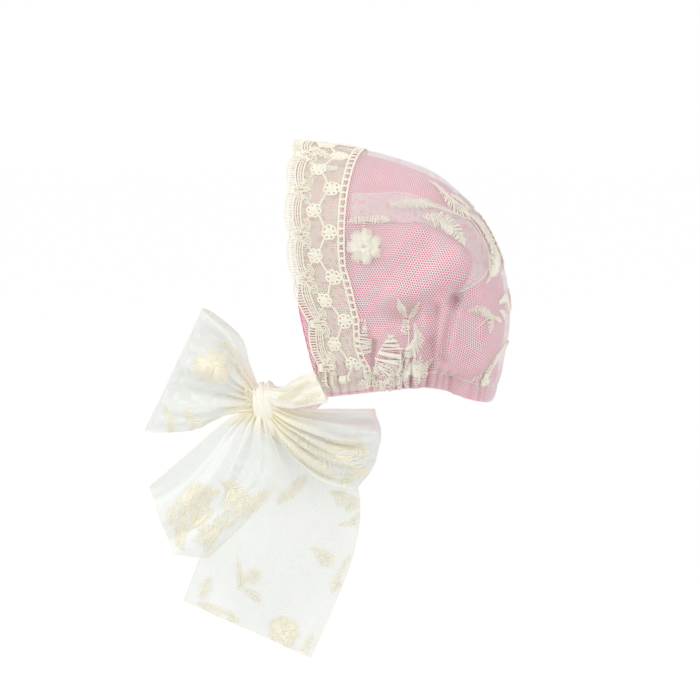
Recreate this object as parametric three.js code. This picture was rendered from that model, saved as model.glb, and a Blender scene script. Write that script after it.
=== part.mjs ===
// A baby's bonnet: satin panels under embroidered net, a lace band round the face, a gathered
// neck casing and net ribbons tied in a bow. Millimetres, +Z up, the face opening towards -Y,
// the wearer's left towards +X. The origin is the inner top of the crown, where a head holds it.
import * as THREE from 'three';

// Wall thicknesses and gaps
const SATIN_WALL = 1.2;
const NET_WALL = 1.0;
const LACE_WALL = 1.0;
const CASING_WALL = 2.4;
const RIBBON_WALL = 1.2;
const GAP = 0.3;

// How far the net stands off the satin at the hems and on top of the crown
const NET_FLOAT_EDGE = 1;
const NET_FLOAT_CROWN = 1.4;
const FLOAT_SPREAD = 0.6;

// The neck casing
const CASING_HEIGHT = 10;
const CASING_TOP_GAP = 0.8;
const CASING_DRAW_IN = 2.5;
const CASING_PLEATS = 28;
const CASING_PLEAT_DEPTH = 0.5;
const NECK_CENTRE_Y = 8;

// The lace band: widths are measured back from the satin's front hem
const LACE_BACK = 34;
const LACE_REACH = 2.5;
const LACE_SET_BACK = 1;
const LACE_SET_BACK_FROM = 0.62;
const LACE_SET_BACK_TO = 0.8;
const SCALLOP_PITCH = 27.4;
const SCALLOP_DEPTH = 2.8;
const SCALLOP_ROUND = 0.7;

// Arches from the face edge to the nape. crownY and crownZ place the top, neckX, neckY and neckZ
// the foot, half is the half width, turn the share of the drop at which the arch is widest and
// bow how far the arch bellies back.
const ARCHES = [
  { crownY: -53, crownZ: 10.5, neckX: 43, neckY: -36, neckZ: -133.5, half: 50, bow: -6, turn: 0.44 },
  { crownY: -27, crownZ: 7.7, neckX: 47, neckY: -16, neckZ: -131, half: 54, bow: -4, turn: 0.44 },
  { crownY: 3, crownZ: 1.5, neckX: 50, neckY: 0, neckZ: -129, half: 57, bow: -2, turn: 0.44 },
  { crownY: 33, crownZ: -10.5, neckX: 51, neckY: 12, neckZ: -127.5, half: 58, bow: 0, turn: 0.44 },
  { crownY: 58, crownZ: -35, neckX: 50, neckY: 22, neckZ: -126.5, half: 57, bow: 2, turn: 0.46 },
  { crownY: 72.5, crownZ: -67, neckX: 48, neckY: 30, neckZ: -126.5, half: 54, bow: 3, turn: 0.5 },
  { crownY: 76, crownZ: -97, neckX: 45, neckY: 36, neckZ: -127, half: 50, bow: 3, turn: 0.56 },
  { crownY: 73, crownZ: -120, neckX: 42, neckY: 41, neckZ: -128, half: 46, bow: 2, turn: 0.66 },
  { crownY: 69.5, crownZ: -138, neckX: 39, neckY: 45, neckZ: -129, half: 41, bow: 0, turn: 0.8 },
];
const ARCH_SHOULDER = 0.92;
const ARCH_STEPS = 48;

// The seam between the crown panel and a side panel: at each share t of the way from the face
// edge to the nape, the share v of the way from the crown line to the neck.
const SEAM = [
  { t: 0, v: 0.43 },
  { t: 0.28, v: 0.425 },
  { t: 0.34, v: 0.41 },
  { t: 0.41, v: 0.385 },
  { t: 0.49, v: 0.375 },
  { t: 0.525, v: 0.4 },
  { t: 0.545, v: 0.5 },
  { t: 0.56, v: 0.63 },
  { t: 0.58, v: 0.745 },
  { t: 0.61, v: 0.85 },
  { t: 0.66, v: 0.985 },
];
const SEAM_END = 0.66;

// Rows of facets along the cap, closer where the seam turns down, and the facets across the
// crown panel, down a side panel and along the other pieces
const CAP_ROWS = [
  0, 0.06, 0.12, 0.18, 0.24, 0.3, 0.36, 0.41, 0.45, 0.49, 0.525, 0.545, 0.56, 0.58, 0.61, 0.66,
  0.71, 0.76, 0.81, 0.86, 0.91, 0.955, 0.998,
];
const CROWN_COLUMNS = 12;
const SIDE_COLUMNS = 6;
const LACE_STEPS = 80;
const LACE_COLUMNS = 3;
const CASING_STEPS = 84;
const RIBBON_ACROSS = 6;
const RIBBON_STEPS_PER_ROW = 3;

// Each ribbon is a table of sections. a and b are its two edges, belly pushes the middle of the
// section out in the plane of the bow, and pleat is the depth of its soft folds.
const TIE_STRAP_LEFT = [
  { a: [41.6, -37.1, -130.5], b: [39.4, -34.4, -143], belly: [0, 0], pleat: 0.1 },
  { a: [39, -51.5, -134], b: [37, -47, -147.5], belly: [0, 0], pleat: 0.8 },
  { a: [31, -59, -138.5], b: [30, -58.5, -148.5], belly: [0, 0], pleat: 0.8 },
  { a: [22, -72.9, -140.6], b: [22, -71, -147.3], belly: [0, 0], pleat: 0.2 },
];
const TIE_STRAP_RIGHT = [
  { a: [-41.6, -37.1, -130.5], b: [-39.4, -34.4, -143], belly: [0, 0], pleat: 0.1 },
  { a: [-37, -48, -143], b: [-36, -44, -155.5], belly: [0, 0], pleat: 0.8 },
  { a: [-22, -52.5, -151], b: [-22, -51.5, -161], belly: [0, 0], pleat: 0.8 },
  { a: [-6, -59, -152.5], b: [-6, -59, -162], belly: [0, 0], pleat: 0.6 },
  { a: [12.2, -72.1, -149.5], b: [12.2, -72.1, -157], belly: [0, 0], pleat: 0.1 },
];
const BOW_LOOP_FRONT = [
  { a: [21.5, -84.8, -141.5], b: [21.5, -84.8, -154.5], belly: [0, 0], pleat: 0.2 },
  { a: [27, -85.5, -125], b: [27, -98, -158], belly: [-2, 0], pleat: 1.2 },
  { a: [30, -92, -107], b: [30, -116, -166], belly: [-3, 0], pleat: 1.5 },
  { a: [28, -107, -94.5], b: [28, -139, -168], belly: [-2, 0], pleat: 0.8 },
  { a: [22, -111.5, -92], b: [22, -148, -168], belly: [0, 0], pleat: 0 },
  { a: [14, -111.5, -92], b: [14, -148, -168], belly: [0, 0], pleat: 0 },
  { a: [8, -106, -96], b: [8, -138, -167], belly: [-2, 0], pleat: 0.8 },
  { a: [6, -92, -109], b: [6, -114, -164], belly: [-3, 0], pleat: 1.5 },
  { a: [9, -86, -126], b: [9, -98, -157], belly: [-2, 0], pleat: 1.2 },
  { a: [14.5, -84.8, -142], b: [14.5, -84.8, -154], belly: [0, 0], pleat: 0.2 },
];
const BOW_LOOP_BACK = [
  { a: [21.5, -70.2, -149.5], b: [21.5, -70.2, -157.5], belly: [0, 0], pleat: 0.2 },
  { a: [26, -52, -153.5], b: [26, -61, -175], belly: [1, 0], pleat: 1.5 },
  { a: [30, -28, -154], b: [30, -38, -195], belly: [3, 0], pleat: 2.5 },
  { a: [28, -10, -153], b: [28, -20, -201], belly: [5, 0], pleat: 1.5 },
  { a: [22, -5, -153.5], b: [22, -16, -203], belly: [8, 0], pleat: 0 },
  { a: [13, -5, -153.5], b: [13, -16, -203], belly: [8, 0], pleat: 0 },
  { a: [8, -10, -154], b: [8, -20, -201], belly: [5, 0], pleat: 1.5 },
  { a: [6, -28, -155], b: [6, -38, -194], belly: [3, 0], pleat: 2.5 },
  { a: [9, -52, -154.5], b: [9, -60, -174], belly: [1, 0], pleat: 1.5 },
  { a: [14.5, -70.2, -150], b: [14.5, -70.2, -157], belly: [0, 0], pleat: 0.2 },
];
const BOW_TAIL_FRONT = [
  { a: [20.5, -82, -158.8], b: [20.5, -74, -158.8], belly: [0, 0], pleat: 0.2 },
  { a: [33, -96, -163], b: [33, -66.5, -170], belly: [0, 2], pleat: 1.5 },
  { a: [35, -119, -180.5], b: [35, -61, -191], belly: [0, 0], pleat: 2 },
  { a: [34, -133, -192.5], b: [34, -72, -211], belly: [-3, -4], pleat: 1.5 },
  { a: [33, -143.5, -201.5], b: [33, -107, -246.5], belly: [-11, -10], pleat: 0.5 },
];
const BOW_TAIL_BACK = [
  { a: [15.5, -81, -158.8], b: [15.5, -73, -158.8], belly: [0, 0], pleat: 0.2 },
  { a: [9.5, -81.5, -163], b: [9.5, -70, -164], belly: [0, 0], pleat: 0.5 },
  { a: [4, -85, -172], b: [4, -54, -176], belly: [0, -1], pleat: 1.5 },
  { a: [1, -93, -187], b: [1, -22, -197], belly: [0, 0], pleat: 2 },
  { a: [0, -102.5, -211.5], b: [0, -15.5, -219], belly: [0, 0], pleat: 2 },
  { a: [1, -110.8, -232], b: [1, -20.7, -250], belly: [0, 0], pleat: 1.5 },
  { a: [2, -118.5, -254], b: [2, -33.5, -283.5], belly: [0, 0], pleat: 1 },
  { a: [3, -128, -278.5], b: [3, -46.5, -313], belly: [0, 0], pleat: 0.5 },
];
const PLEATS_ACROSS = 1.5;

// The knot is an upright barrel of wrapped ribbon
const KNOT_CENTRE = [18, -77.5, -149.5];
const KNOT_RADII = [7, 7.6, 8.8];
const KNOT_WRAPS = 5;
const KNOT_WRAP_DEPTH = 0.35;
const KNOT_SHOULDER = 0.5;
const KNOT_SIDES = 20;
const KNOT_RINGS = 12;

// Number helpers
const clamp01 = (value) => Math.min(Math.max(value, 0), 1);
const mix = (from, to, share) => from + (to - from) * share;
const smooth = (share) => share * share * (3 - 2 * share);

// A Catmull-Rom value at share f between b and c, with a before them and d after
function spline(a, b, c, d, f) {
  const slope = (c - a) * f;
  const bend = (2 * a - 5 * b + 4 * c - d) * f * f;
  const twist = (-a + 3 * b - 3 * c + d) * f * f * f;
  return 0.5 * (2 * b + slope + bend + twist);
}

// The arch at share t of the way back, smooth through the table and straight on past its ends
function archAt(t) {
  const last = ARCHES.length - 1;
  const place = t * last;
  const start = Math.min(Math.max(Math.floor(place), 0), last - 1);
  const row = {};
  for (const key of Object.keys(ARCHES[0])) {
    const value = (index) => {
      if (index < 0) return 2 * ARCHES[0][key] - ARCHES[1][key];
      if (index > last) return 2 * ARCHES[last][key] - ARCHES[last - 1][key];
      return ARCHES[index][key];
    };
    if (place < 0) row[key] = mix(value(0), value(1), place);
    else row[key] = spline(value(start - 1), value(start), value(start + 1), value(start + 2), place - start);
  }
  return row;
}

// Half an arch, from the crown line down to the neck, as points with their running length
const archLines = new Map();
function archLine(t) {
  const key = t.toFixed(5);
  if (archLines.has(key)) return archLines.get(key);
  const row = archAt(t);
  const points = [];
  const lengths = [0];
  for (let step = 0; step <= ARCH_STEPS; step += 1) {
    const share = step / ARCH_STEPS;
    const angle = Math.min(share, 0.5) * Math.PI;
    const below = clamp01(share * 2 - 1);
    const rise = Math.max(Math.cos(angle), 0) ** ARCH_SHOULDER;
    const x = share <= 0.5
      ? row.half * Math.sin(angle) ** ARCH_SHOULDER
      : mix(row.half, row.neckX, below * below);
    const drop = share <= 0.5 ? row.turn * (1 - rise) : mix(row.turn, 1, below);
    const y = mix(row.crownY, row.neckY, drop) + row.bow * 4 * drop * (1 - drop);
    const z = mix(row.crownZ, row.neckZ, drop);
    points.push(new THREE.Vector3(x, y, z));
    if (step > 0) lengths.push(lengths[step - 1] + points[step].distanceTo(points[step - 1]));
  }
  const line = { points, lengths };
  archLines.set(key, line);
  return line;
}

// The casing's way down from a point of the neck edge
function casingDrop(foot) {
  const outward = new THREE.Vector3(foot.x, foot.y - NECK_CENTRE_Y, 0).normalize();
  return outward.multiplyScalar(-CASING_DRAW_IN).add(new THREE.Vector3(0, 0, -CASING_HEIGHT));
}

// A point of the cap: t runs from the face edge to the nape, and v from -1 at the right side of
// the neck over the crown line to 1 at the left. Past 1 it goes on down the casing.
function capPoint(t, v) {
  const { points, lengths } = archLine(t);
  const whole = lengths[ARCH_STEPS];
  const target = Math.min(Math.abs(v), 1) * whole;
  let step = 1;
  while (step < ARCH_STEPS && lengths[step] < target) step += 1;
  const share = (target - lengths[step - 1]) / (lengths[step] - lengths[step - 1]);
  const point = points[step - 1].clone().lerp(points[step], share);
  if (Math.abs(v) > 1) {
    const drop = casingDrop(points[ARCH_STEPS]);
    point.addScaledVector(drop, ((Math.abs(v) - 1) * whole) / drop.length());
  }
  if (v < 0) point.x *= -1;
  return point;
}

// The cap's outward direction at t and v
function capNormal(t, v) {
  const small = 0.004;
  const back = capPoint(t + small, v).sub(capPoint(t - small, v));
  const down = capPoint(t, v + small).sub(capPoint(t, v - small));
  return back.cross(down).normalize().negate();
}

// A point that stands off the cap
function offCap(t, v, height) {
  return capPoint(t, v).addScaledVector(capNormal(t, v), height);
}

// The share t that lies a length back from the satin's front hem, on the line of a fixed v
function backFromHem(v, length) {
  const probe = 0.05;
  const towards = Math.sign(length) * probe;
  let t = 0;
  for (let round = 0; round < 4; round += 1) {
    const steps = 8;
    let walked = 0;
    for (let step = 0; step < steps; step += 1) {
      const from = capPoint((t * step) / steps, v);
      walked += from.distanceTo(capPoint((t * (step + 1)) / steps, v));
    }
    const speed = capPoint(t + towards, v).distanceTo(capPoint(t, v)) / probe;
    t += (length - Math.sign(t) * walked) / speed;
  }
  return t;
}

// The seam's v at t
function seamAt(t) {
  let index = 1;
  while (index < SEAM.length - 1 && SEAM[index].t < t) index += 1;
  const from = SEAM[index - 1];
  const to = SEAM[index];
  return mix(from.v, to.v, clamp01((t - from.t) / (to.t - from.t)));
}

// A closed wall between an inner and an outer grid of points, with its faces out
function wallBetween(inner, outer) {
  const rows = inner.length;
  const columns = inner[0].length;
  const positions = [...inner.flat(), ...outer.flat()].flatMap((point) => [point.x, point.y, point.z]);
  const at = (side, row, column) => side * rows * columns + row * columns + column;
  const faces = [];
  const quad = (a, b, c, d) => faces.push(a, b, c, a, c, d);
  for (let row = 0; row < rows - 1; row += 1) {
    for (let column = 0; column < columns - 1; column += 1) {
      quad(at(0, row, column), at(0, row, column + 1), at(0, row + 1, column + 1), at(0, row + 1, column));
      quad(at(1, row, column), at(1, row + 1, column), at(1, row + 1, column + 1), at(1, row, column + 1));
    }
  }
  for (let row = 0; row < rows - 1; row += 1) {
    quad(at(0, row, 0), at(0, row + 1, 0), at(1, row + 1, 0), at(1, row, 0));
    const end = columns - 1;
    quad(at(0, row + 1, end), at(0, row, end), at(1, row, end), at(1, row + 1, end));
  }
  for (let column = 0; column < columns - 1; column += 1) {
    quad(at(0, 0, column + 1), at(0, 0, column), at(1, 0, column), at(1, 0, column + 1));
    const end = rows - 1;
    quad(at(0, end, column), at(0, end, column + 1), at(1, end, column + 1), at(1, end, column));
  }
  return facingOut(positions, faces);
}

// A geometry whose faces are turned round if they enclose a negative volume
function facingOut(positions, faces) {
  const corner = (index) => new THREE.Vector3(...positions.slice(3 * index, 3 * index + 3));
  let volume = 0;
  for (let face = 0; face < faces.length; face += 3) {
    const [a, b, c] = [0, 1, 2].map((step) => corner(faces[face + step]));
    volume += a.dot(b.cross(c));
  }
  const geometry = new THREE.BufferGeometry();
  geometry.setAttribute('position', new THREE.Float32BufferAttribute(positions, 3));
  geometry.setIndex(volume < 0 ? faces.toReversed() : faces);
  geometry.computeVertexNormals();
  return geometry;
}

// A wall on the cap through rows of places, each with its t and v
function capWall(places, innerHeight, outerHeight) {
  const grid = (height) => places.map((row) => row.map(({ t, v }) => offCap(t, v, height(v))));
  return wallBetween(grid(innerHeight), grid(outerHeight));
}

// The satin lies closer to the net at the hems than on the crown
function satinOuter(v) {
  return -mix(NET_FLOAT_CROWN, NET_FLOAT_EDGE, smooth(clamp01(Math.abs(v) / FLOAT_SPREAD)));
}

function satinInner(v) {
  return satinOuter(v) - SATIN_WALL;
}

// Where the panels stop above the neck, and half the seam's gap, as shares of t and v
const NECK_STOP = 0.998;
const SEAM_SHARE = 0.0016;

// The places of a panel's columns in one row, from one v to another
function columnsOf(t, from, to, columns) {
  const line = [];
  for (let column = 0; column <= columns; column += 1) {
    line.push({ t, v: mix(from, to, column / columns) });
  }
  return line;
}

function crownPanel() {
  const places = CAP_ROWS.map((t) => {
    const edge = t > SEAM_END ? NECK_STOP : seamAt(t - SEAM_SHARE) - SEAM_SHARE;
    return columnsOf(t, -edge, edge, CROWN_COLUMNS);
  });
  return capWall(places, satinInner, satinOuter);
}

function sidePanel(side) {
  const places = CAP_ROWS.filter((t) => t <= SEAM_END).map((t) => {
    const edge = seamAt(t + SEAM_SHARE) + SEAM_SHARE;
    return columnsOf(t, side * edge, side * NECK_STOP, SIDE_COLUMNS);
  });
  return capWall(places, satinInner, satinOuter);
}

// The net is cut in the same facets as the satin below it, so that the two stay apart
function netOverlay() {
  const places = CAP_ROWS.map((t) => {
    const edge = seamAt(t);
    const right = columnsOf(t, -NECK_STOP, -edge, SIDE_COLUMNS).slice(0, -1);
    const left = columnsOf(t, edge, NECK_STOP, SIDE_COLUMNS).slice(1);
    return [...right, ...columnsOf(t, -edge, edge, CROWN_COLUMNS), ...left];
  });
  return capWall(places, () => 0, () => NET_WALL);
}

// The lace's outer edge, as a length back from the satin's front hem
function laceEdge(v) {
  const along = Math.abs(v) * archLine(0).lengths[ARCH_STEPS];
  const bulge = Math.abs(Math.sin((Math.PI * along) / SCALLOP_PITCH)) ** SCALLOP_ROUND;
  const low = smooth(clamp01((Math.abs(v) - LACE_SET_BACK_FROM) / (LACE_SET_BACK_TO - LACE_SET_BACK_FROM)));
  return mix(-LACE_REACH, LACE_SET_BACK, low) + SCALLOP_DEPTH * (1 - bulge);
}

function faceLace() {
  const lowest = 1 + CASING_HEIGHT / archLine(0).lengths[ARCH_STEPS];
  const places = [];
  for (let step = 0; step <= LACE_STEPS; step += 1) {
    const v = lowest * ((2 * step) / LACE_STEPS - 1);
    const line = [];
    for (let column = 0; column <= LACE_COLUMNS; column += 1) {
      line.push({ t: backFromHem(v, mix(laceEdge(v), LACE_BACK, column / LACE_COLUMNS)), v });
    }
    places.push(line);
  }
  const height = NET_WALL + GAP;
  return capWall(places, () => height, () => height + LACE_WALL);
}

// The neck edge from the left front corner round the nape to the right front corner
function neckEdge(share) {
  const sideShare = 0.35;
  if (share < sideShare) return { t: share / sideShare, v: 1 };
  if (share > 1 - sideShare) return { t: (1 - share) / sideShare, v: -1 };
  return { t: 1, v: mix(1, -1, (share - sideShare) / (1 - 2 * sideShare)) };
}

function neckCasing() {
  const inner = [];
  const outer = [];
  for (let step = 0; step <= CASING_STEPS; step += 1) {
    const { t, v } = neckEdge(step / CASING_STEPS);
    const foot = capPoint(t, v);
    const drop = casingDrop(foot);
    const outward = new THREE.Vector3(foot.x, foot.y - NECK_CENTRE_Y, 0).normalize();
    const ripple = CASING_PLEAT_DEPTH * Math.cos((2 * Math.PI * CASING_PLEATS * step) / CASING_STEPS);
    const at = (down, out) => foot.clone().addScaledVector(drop, down).addScaledVector(outward, out + ripple);
    const top = CASING_TOP_GAP / CASING_HEIGHT;
    const face = -NET_FLOAT_EDGE - CASING_PLEAT_DEPTH;
    inner.push([at(top, face - CASING_WALL), at(1, face - CASING_WALL)]);
    outer.push([at(top, face), at(1, face)]);
  }
  return wallBetween(inner, outer);
}

// A ribbon through a table of sections, smooth from row to row
function ribbon(sections) {
  const last = sections.length - 1;
  const steps = last * RIBBON_STEPS_PER_ROW;
  const valueAt = (place, pick) => {
    const start = Math.min(Math.floor(place), last - 1);
    const value = (index) => {
      if (index < 0) return 2 * pick(sections[0]) - pick(sections[1]);
      if (index > last) return 2 * pick(sections[last]) - pick(sections[last - 1]);
      return pick(sections[index]);
    };
    return spline(value(start - 1), value(start), value(start + 1), value(start + 2), place - start);
  };
  const middle = [];
  for (let step = 0; step <= steps; step += 1) {
    const place = step / RIBBON_STEPS_PER_ROW;
    const line = [];
    for (let column = 0; column <= RIBBON_ACROSS; column += 1) {
      const share = column / RIBBON_ACROSS;
      const [x, y, z] = [0, 1, 2].map((axis) => mix(
        valueAt(place, (row) => row.a[axis]),
        valueAt(place, (row) => row.b[axis]),
        share,
      ));
      const swell = 4 * share * (1 - share);
      const fold = valueAt(place, (row) => row.pleat) * Math.sin(2 * Math.PI * PLEATS_ACROSS * share);
      line.push(new THREE.Vector3(
        x + fold,
        y + swell * valueAt(place, (row) => row.belly[0]),
        z + swell * valueAt(place, (row) => row.belly[1]),
      ));
    }
    middle.push(line);
  }
  return sheetWall(middle, RIBBON_WALL);
}

// A closed wall of even thickness about a grid of middle points
function sheetWall(middle, thickness) {
  const pick = (row, column) => {
    const line = middle[Math.min(Math.max(row, 0), middle.length - 1)];
    return line[Math.min(Math.max(column, 0), line.length - 1)];
  };
  const grid = (height) => middle.map((line, row) => line.map((point, column) => {
    const along = pick(row + 1, column).clone().sub(pick(row - 1, column));
    const across = pick(row, column + 1).clone().sub(pick(row, column - 1));
    return point.clone().addScaledVector(along.cross(across).normalize(), height);
  }));
  return wallBetween(grid(-thickness / 2), grid(thickness / 2));
}

// The knot, with the shallow ridges of its wraps round its upright axis
function bowKnot() {
  const profile = [];
  for (let ring = 0; ring <= KNOT_RINGS; ring += 1) {
    const angle = Math.PI * (ring / KNOT_RINGS - 0.5);
    const radius = ring % KNOT_RINGS === 0 ? 0 : Math.cos(angle) ** KNOT_SHOULDER;
    profile.push(new THREE.Vector2(radius, Math.sin(angle)));
  }
  const geometry = new THREE.LatheGeometry(profile, KNOT_SIDES);
  geometry.rotateX(Math.PI / 2);
  const position = geometry.getAttribute('position');
  const inner = KNOT_RADII.map((radius) => radius - KNOT_WRAP_DEPTH);
  for (let index = 0; index < position.count; index += 1) {
    const point = new THREE.Vector3().fromBufferAttribute(position, index);
    const ridge = 1 + (KNOT_WRAP_DEPTH / KNOT_RADII[0]) * Math.cos(Math.PI * KNOT_WRAPS * point.z);
    position.setXYZ(index, point.x * inner[0] * ridge, point.y * inner[1] * ridge, point.z * inner[2]);
  }
  return geometry;
}

// Finishes
const finish = (color, roughness) => new THREE.MeshStandardMaterial({ color, roughness, metalness: 0 });
const pinkSatin = finish('#e7c8cc', 0.5);
const ivoryNet = finish('#e6dfd8', 0.85);
const cottonLace = finish('#eae4d2', 0.9);
const ribbonNet = finish('#eeeee6', 0.8);

const bonnet = new THREE.Group();

function add(name, geometry, material) {
  const mesh = new THREE.Mesh(geometry, material.clone());
  mesh.name = name;
  bonnet.add(mesh);
  return mesh;
}

add('crown_panel', crownPanel(), pinkSatin);
add('side_panel_left', sidePanel(1), pinkSatin);
add('side_panel_right', sidePanel(-1), pinkSatin);
add('net_overlay', netOverlay(), ivoryNet);
add('face_lace', faceLace(), cottonLace);
add('neck_casing', neckCasing(), pinkSatin);
add('tie_strap_left', ribbon(TIE_STRAP_LEFT), ribbonNet);
add('tie_strap_right', ribbon(TIE_STRAP_RIGHT), ribbonNet);
add('bow_loop_front', ribbon(BOW_LOOP_FRONT), ribbonNet);
add('bow_loop_back', ribbon(BOW_LOOP_BACK), ribbonNet);
add('bow_tail_front', ribbon(BOW_TAIL_FRONT), ribbonNet);
add('bow_tail_back', ribbon(BOW_TAIL_BACK), ribbonNet);
add('bow_knot', bowKnot(), ribbonNet).position.set(...KNOT_CENTRE);

export default bonnet;
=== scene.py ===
# %% [markdown]
# # A baby's bonnet in satin, net and lace
#
# The real bonnet is a pink satin cap with embroidered ivory net laid over it. A cotton lace band is
# sewn round the face, the neck is gathered into a casing, and a wide net ribbon on each side is
# tied in a bow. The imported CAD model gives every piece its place. This lesson sews the cloth over it.

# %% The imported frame
import math
import bpy
import numpy as np
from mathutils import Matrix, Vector


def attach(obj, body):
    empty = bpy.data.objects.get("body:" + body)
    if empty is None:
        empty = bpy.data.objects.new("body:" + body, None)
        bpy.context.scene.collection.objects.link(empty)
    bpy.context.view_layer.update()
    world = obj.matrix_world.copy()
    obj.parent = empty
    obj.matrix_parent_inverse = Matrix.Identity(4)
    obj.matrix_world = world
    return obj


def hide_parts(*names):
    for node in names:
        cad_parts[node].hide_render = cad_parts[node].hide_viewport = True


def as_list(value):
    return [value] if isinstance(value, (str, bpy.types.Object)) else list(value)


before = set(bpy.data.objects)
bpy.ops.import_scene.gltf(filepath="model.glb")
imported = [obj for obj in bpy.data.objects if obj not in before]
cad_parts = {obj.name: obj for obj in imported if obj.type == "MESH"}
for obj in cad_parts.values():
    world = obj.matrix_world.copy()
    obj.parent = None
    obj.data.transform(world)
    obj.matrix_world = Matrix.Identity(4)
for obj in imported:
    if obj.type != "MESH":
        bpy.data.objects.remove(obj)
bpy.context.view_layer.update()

print("nodes in the frame:", len(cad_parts))

# %% [markdown]
# ## Camera, light and floor
#
# The bonnet hangs in bright, even studio light. A long lens keeps the shape free of perspective.
# The white surroundings give most of the light, and one large soft lamp above the face side gives
# the folds their shade. The floor is a wide pale disc below the ribbon ends.

# %% The camera
MM = 0.001
SENSOR = 36.0
LENS = 124.4
EYE = (1.49594, 0.16181, 0.01400)
AIM = (0.01278, -0.02029, -0.11673)


def linked(name, data):
    """A new object in the scene."""
    made = bpy.data.objects.new(name, data)
    bpy.context.collection.objects.link(made)
    return made


def aimed(name, data, place, aim):
    """A camera or a lamp that looks from a place to another."""
    made = linked(name, data)
    made.location = place
    made.rotation_euler = (Vector(aim) - Vector(place)).to_track_quat("-Z", "Y").to_euler()
    return made


lens = bpy.data.cameras.new("camera")
lens.sensor_width = SENSOR
lens.lens = LENS
bpy.context.scene.camera = aimed("camera", lens, EYE, AIM)
print("camera lens", LENS, "mm")

# %% Colours and nodes


def rgb(hex_colour):
    """A hex sRGB colour as the linear values that Blender works in."""
    parts = [int(hex_colour[i : i + 2], 16) / 255 for i in (1, 3, 5)]
    return [p / 12.92 if p <= 0.04045 else ((p + 0.055) / 1.055) ** 2.4 for p in parts] + [1.0]


def add(tree, kind, links=None, **settings):
    """One node with its settings, its values and the nodes or sockets linked into it."""
    made = tree.nodes.new(kind)
    for name, value in settings.items():
        setattr(made, name, value)
    for name, value in (links or {}).items():
        if isinstance(value, bpy.types.Node):
            value = value.outputs[0]
        if isinstance(value, bpy.types.NodeSocket):
            tree.links.new(value, made.inputs[name])
        else:
            made.inputs[name].default_value = value
    return made


def new_material(name):
    """An empty node material with its tree."""
    made = bpy.data.materials.new(name)
    made.use_nodes = True
    made.node_tree.nodes.clear()
    return made, made.node_tree


def close_material(tree, **sockets):
    """Ends a tree in one Principled shader."""
    shader = add(tree, "ShaderNodeBsdfPrincipled", {k.replace("_", " "): v for k, v in sockets.items()})
    add(tree, "ShaderNodeOutputMaterial", {"Surface": shader})


# %% Light and floor
FLOOR_Z = -0.47
FLOOR_REACH = 40
WHITE_LIGHT = 0.82
bpy.context.scene.view_settings.view_transform = "Standard"
bpy.context.scene.cycles.transparent_max_bounces = 40

world = bpy.data.worlds.new("white studio")
world.use_nodes = True
tree = world.node_tree
seen = add(tree, "ShaderNodeLightPath").outputs["Is Camera Ray"]
# The backdrop is pure white to the eye, and lights the cloth a little less than that
strength = add(tree, "ShaderNodeMapRange", {"Value": seen, "To Min": WHITE_LIGHT, "To Max": 1.0})
tree.nodes["Background"].inputs["Color"].default_value = (1, 1, 1, 1)
tree.links.new(strength.outputs[0], tree.nodes["Background"].inputs["Strength"])
bpy.context.scene.world = world

# Each lamp: its place and width in metres and its power in watts
LAMPS = {"soft_key": ((1.0, -1.4, 1.5), 0.6, 14), "soft_fill": ((1.5, 1.2, 0.2), 1.4, 6)}
LAMP_AIM = (0, 0, -0.1)
for name, (place, size, watts) in LAMPS.items():
    lamp = bpy.data.lights.new(name, "AREA")
    lamp.shape = "DISK"
    lamp.size = size
    lamp.energy = watts
    aimed(name, lamp, place, LAMP_AIM)

floor_finish, tree = new_material("white_floor")
close_material(
    tree, Base_Color=rgb("#808080"), Roughness=1.0, Specular_IOR_Level=0.0,
    Emission_Color=rgb("#ffffff"), Emission_Strength=WHITE_LIGHT,
)
bpy.ops.mesh.primitive_circle_add(vertices=96, radius=FLOOR_REACH, fill_type="NGON", location=(0, 0, FLOOR_Z))
floor = bpy.context.object
floor.name = "floor"
floor.data.materials.append(floor_finish)
# The floor throws no light up under the bonnet, as a floor far below it would not
floor.visible_diffuse = False
print("floor at", FLOOR_Z, "m")

# %% [markdown]
# ## The shape of the cap
#
# The cap is a fan of arches from the face edge back to the nape, as a pattern cutter would draw
# it. A point of the cap has a share t of the way back and a share v of the way down from the
# crown line, negative on the wearer's right. The table repeats the arches of the CAD model.

# %% The arches in millimetres
# Columns: crown y and z, neck x, y and z, half width, bow, share of the drop at the widest point
ARCHES = np.array([
    (-53, 10.5, 43, -36, -133.5, 50, -6, 0.44), (-27, 7.7, 47, -16, -131, 54, -4, 0.44),
    (3, 1.5, 50, 0, -129, 57, -2, 0.44), (33, -10.5, 51, 12, -127.5, 58, 0, 0.44),
    (58, -35, 50, 22, -126.5, 57, 2, 0.46), (72.5, -67, 48, 30, -126.5, 54, 3, 0.5),
    (76, -97, 45, 36, -127, 50, 3, 0.56), (73, -120, 42, 41, -128, 46, 2, 0.66),
    (69.5, -138, 39, 45, -129, 41, 0, 0.8),
])
SHOULDER = 0.92
CASING_HEIGHT = 10.0
CASING_DRAW_IN = 2.5
NECK_CENTRE_Y = 8.0
FRONT_HALF = 173.4
T_LINES = np.linspace(-0.06, 1, 266)
V_LINES = np.linspace(-1, 1, 401)
HEM_ROW = 15


def run_along(line):
    """How far along a line of points each of them lies."""
    return np.concatenate([[0], np.cumsum(np.linalg.norm(np.diff(line, axis=0), axis=1))])


def unit(ways):
    """Directions with a length of 1."""
    return ways / np.linalg.norm(ways, axis=-1, keepdims=True)


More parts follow.
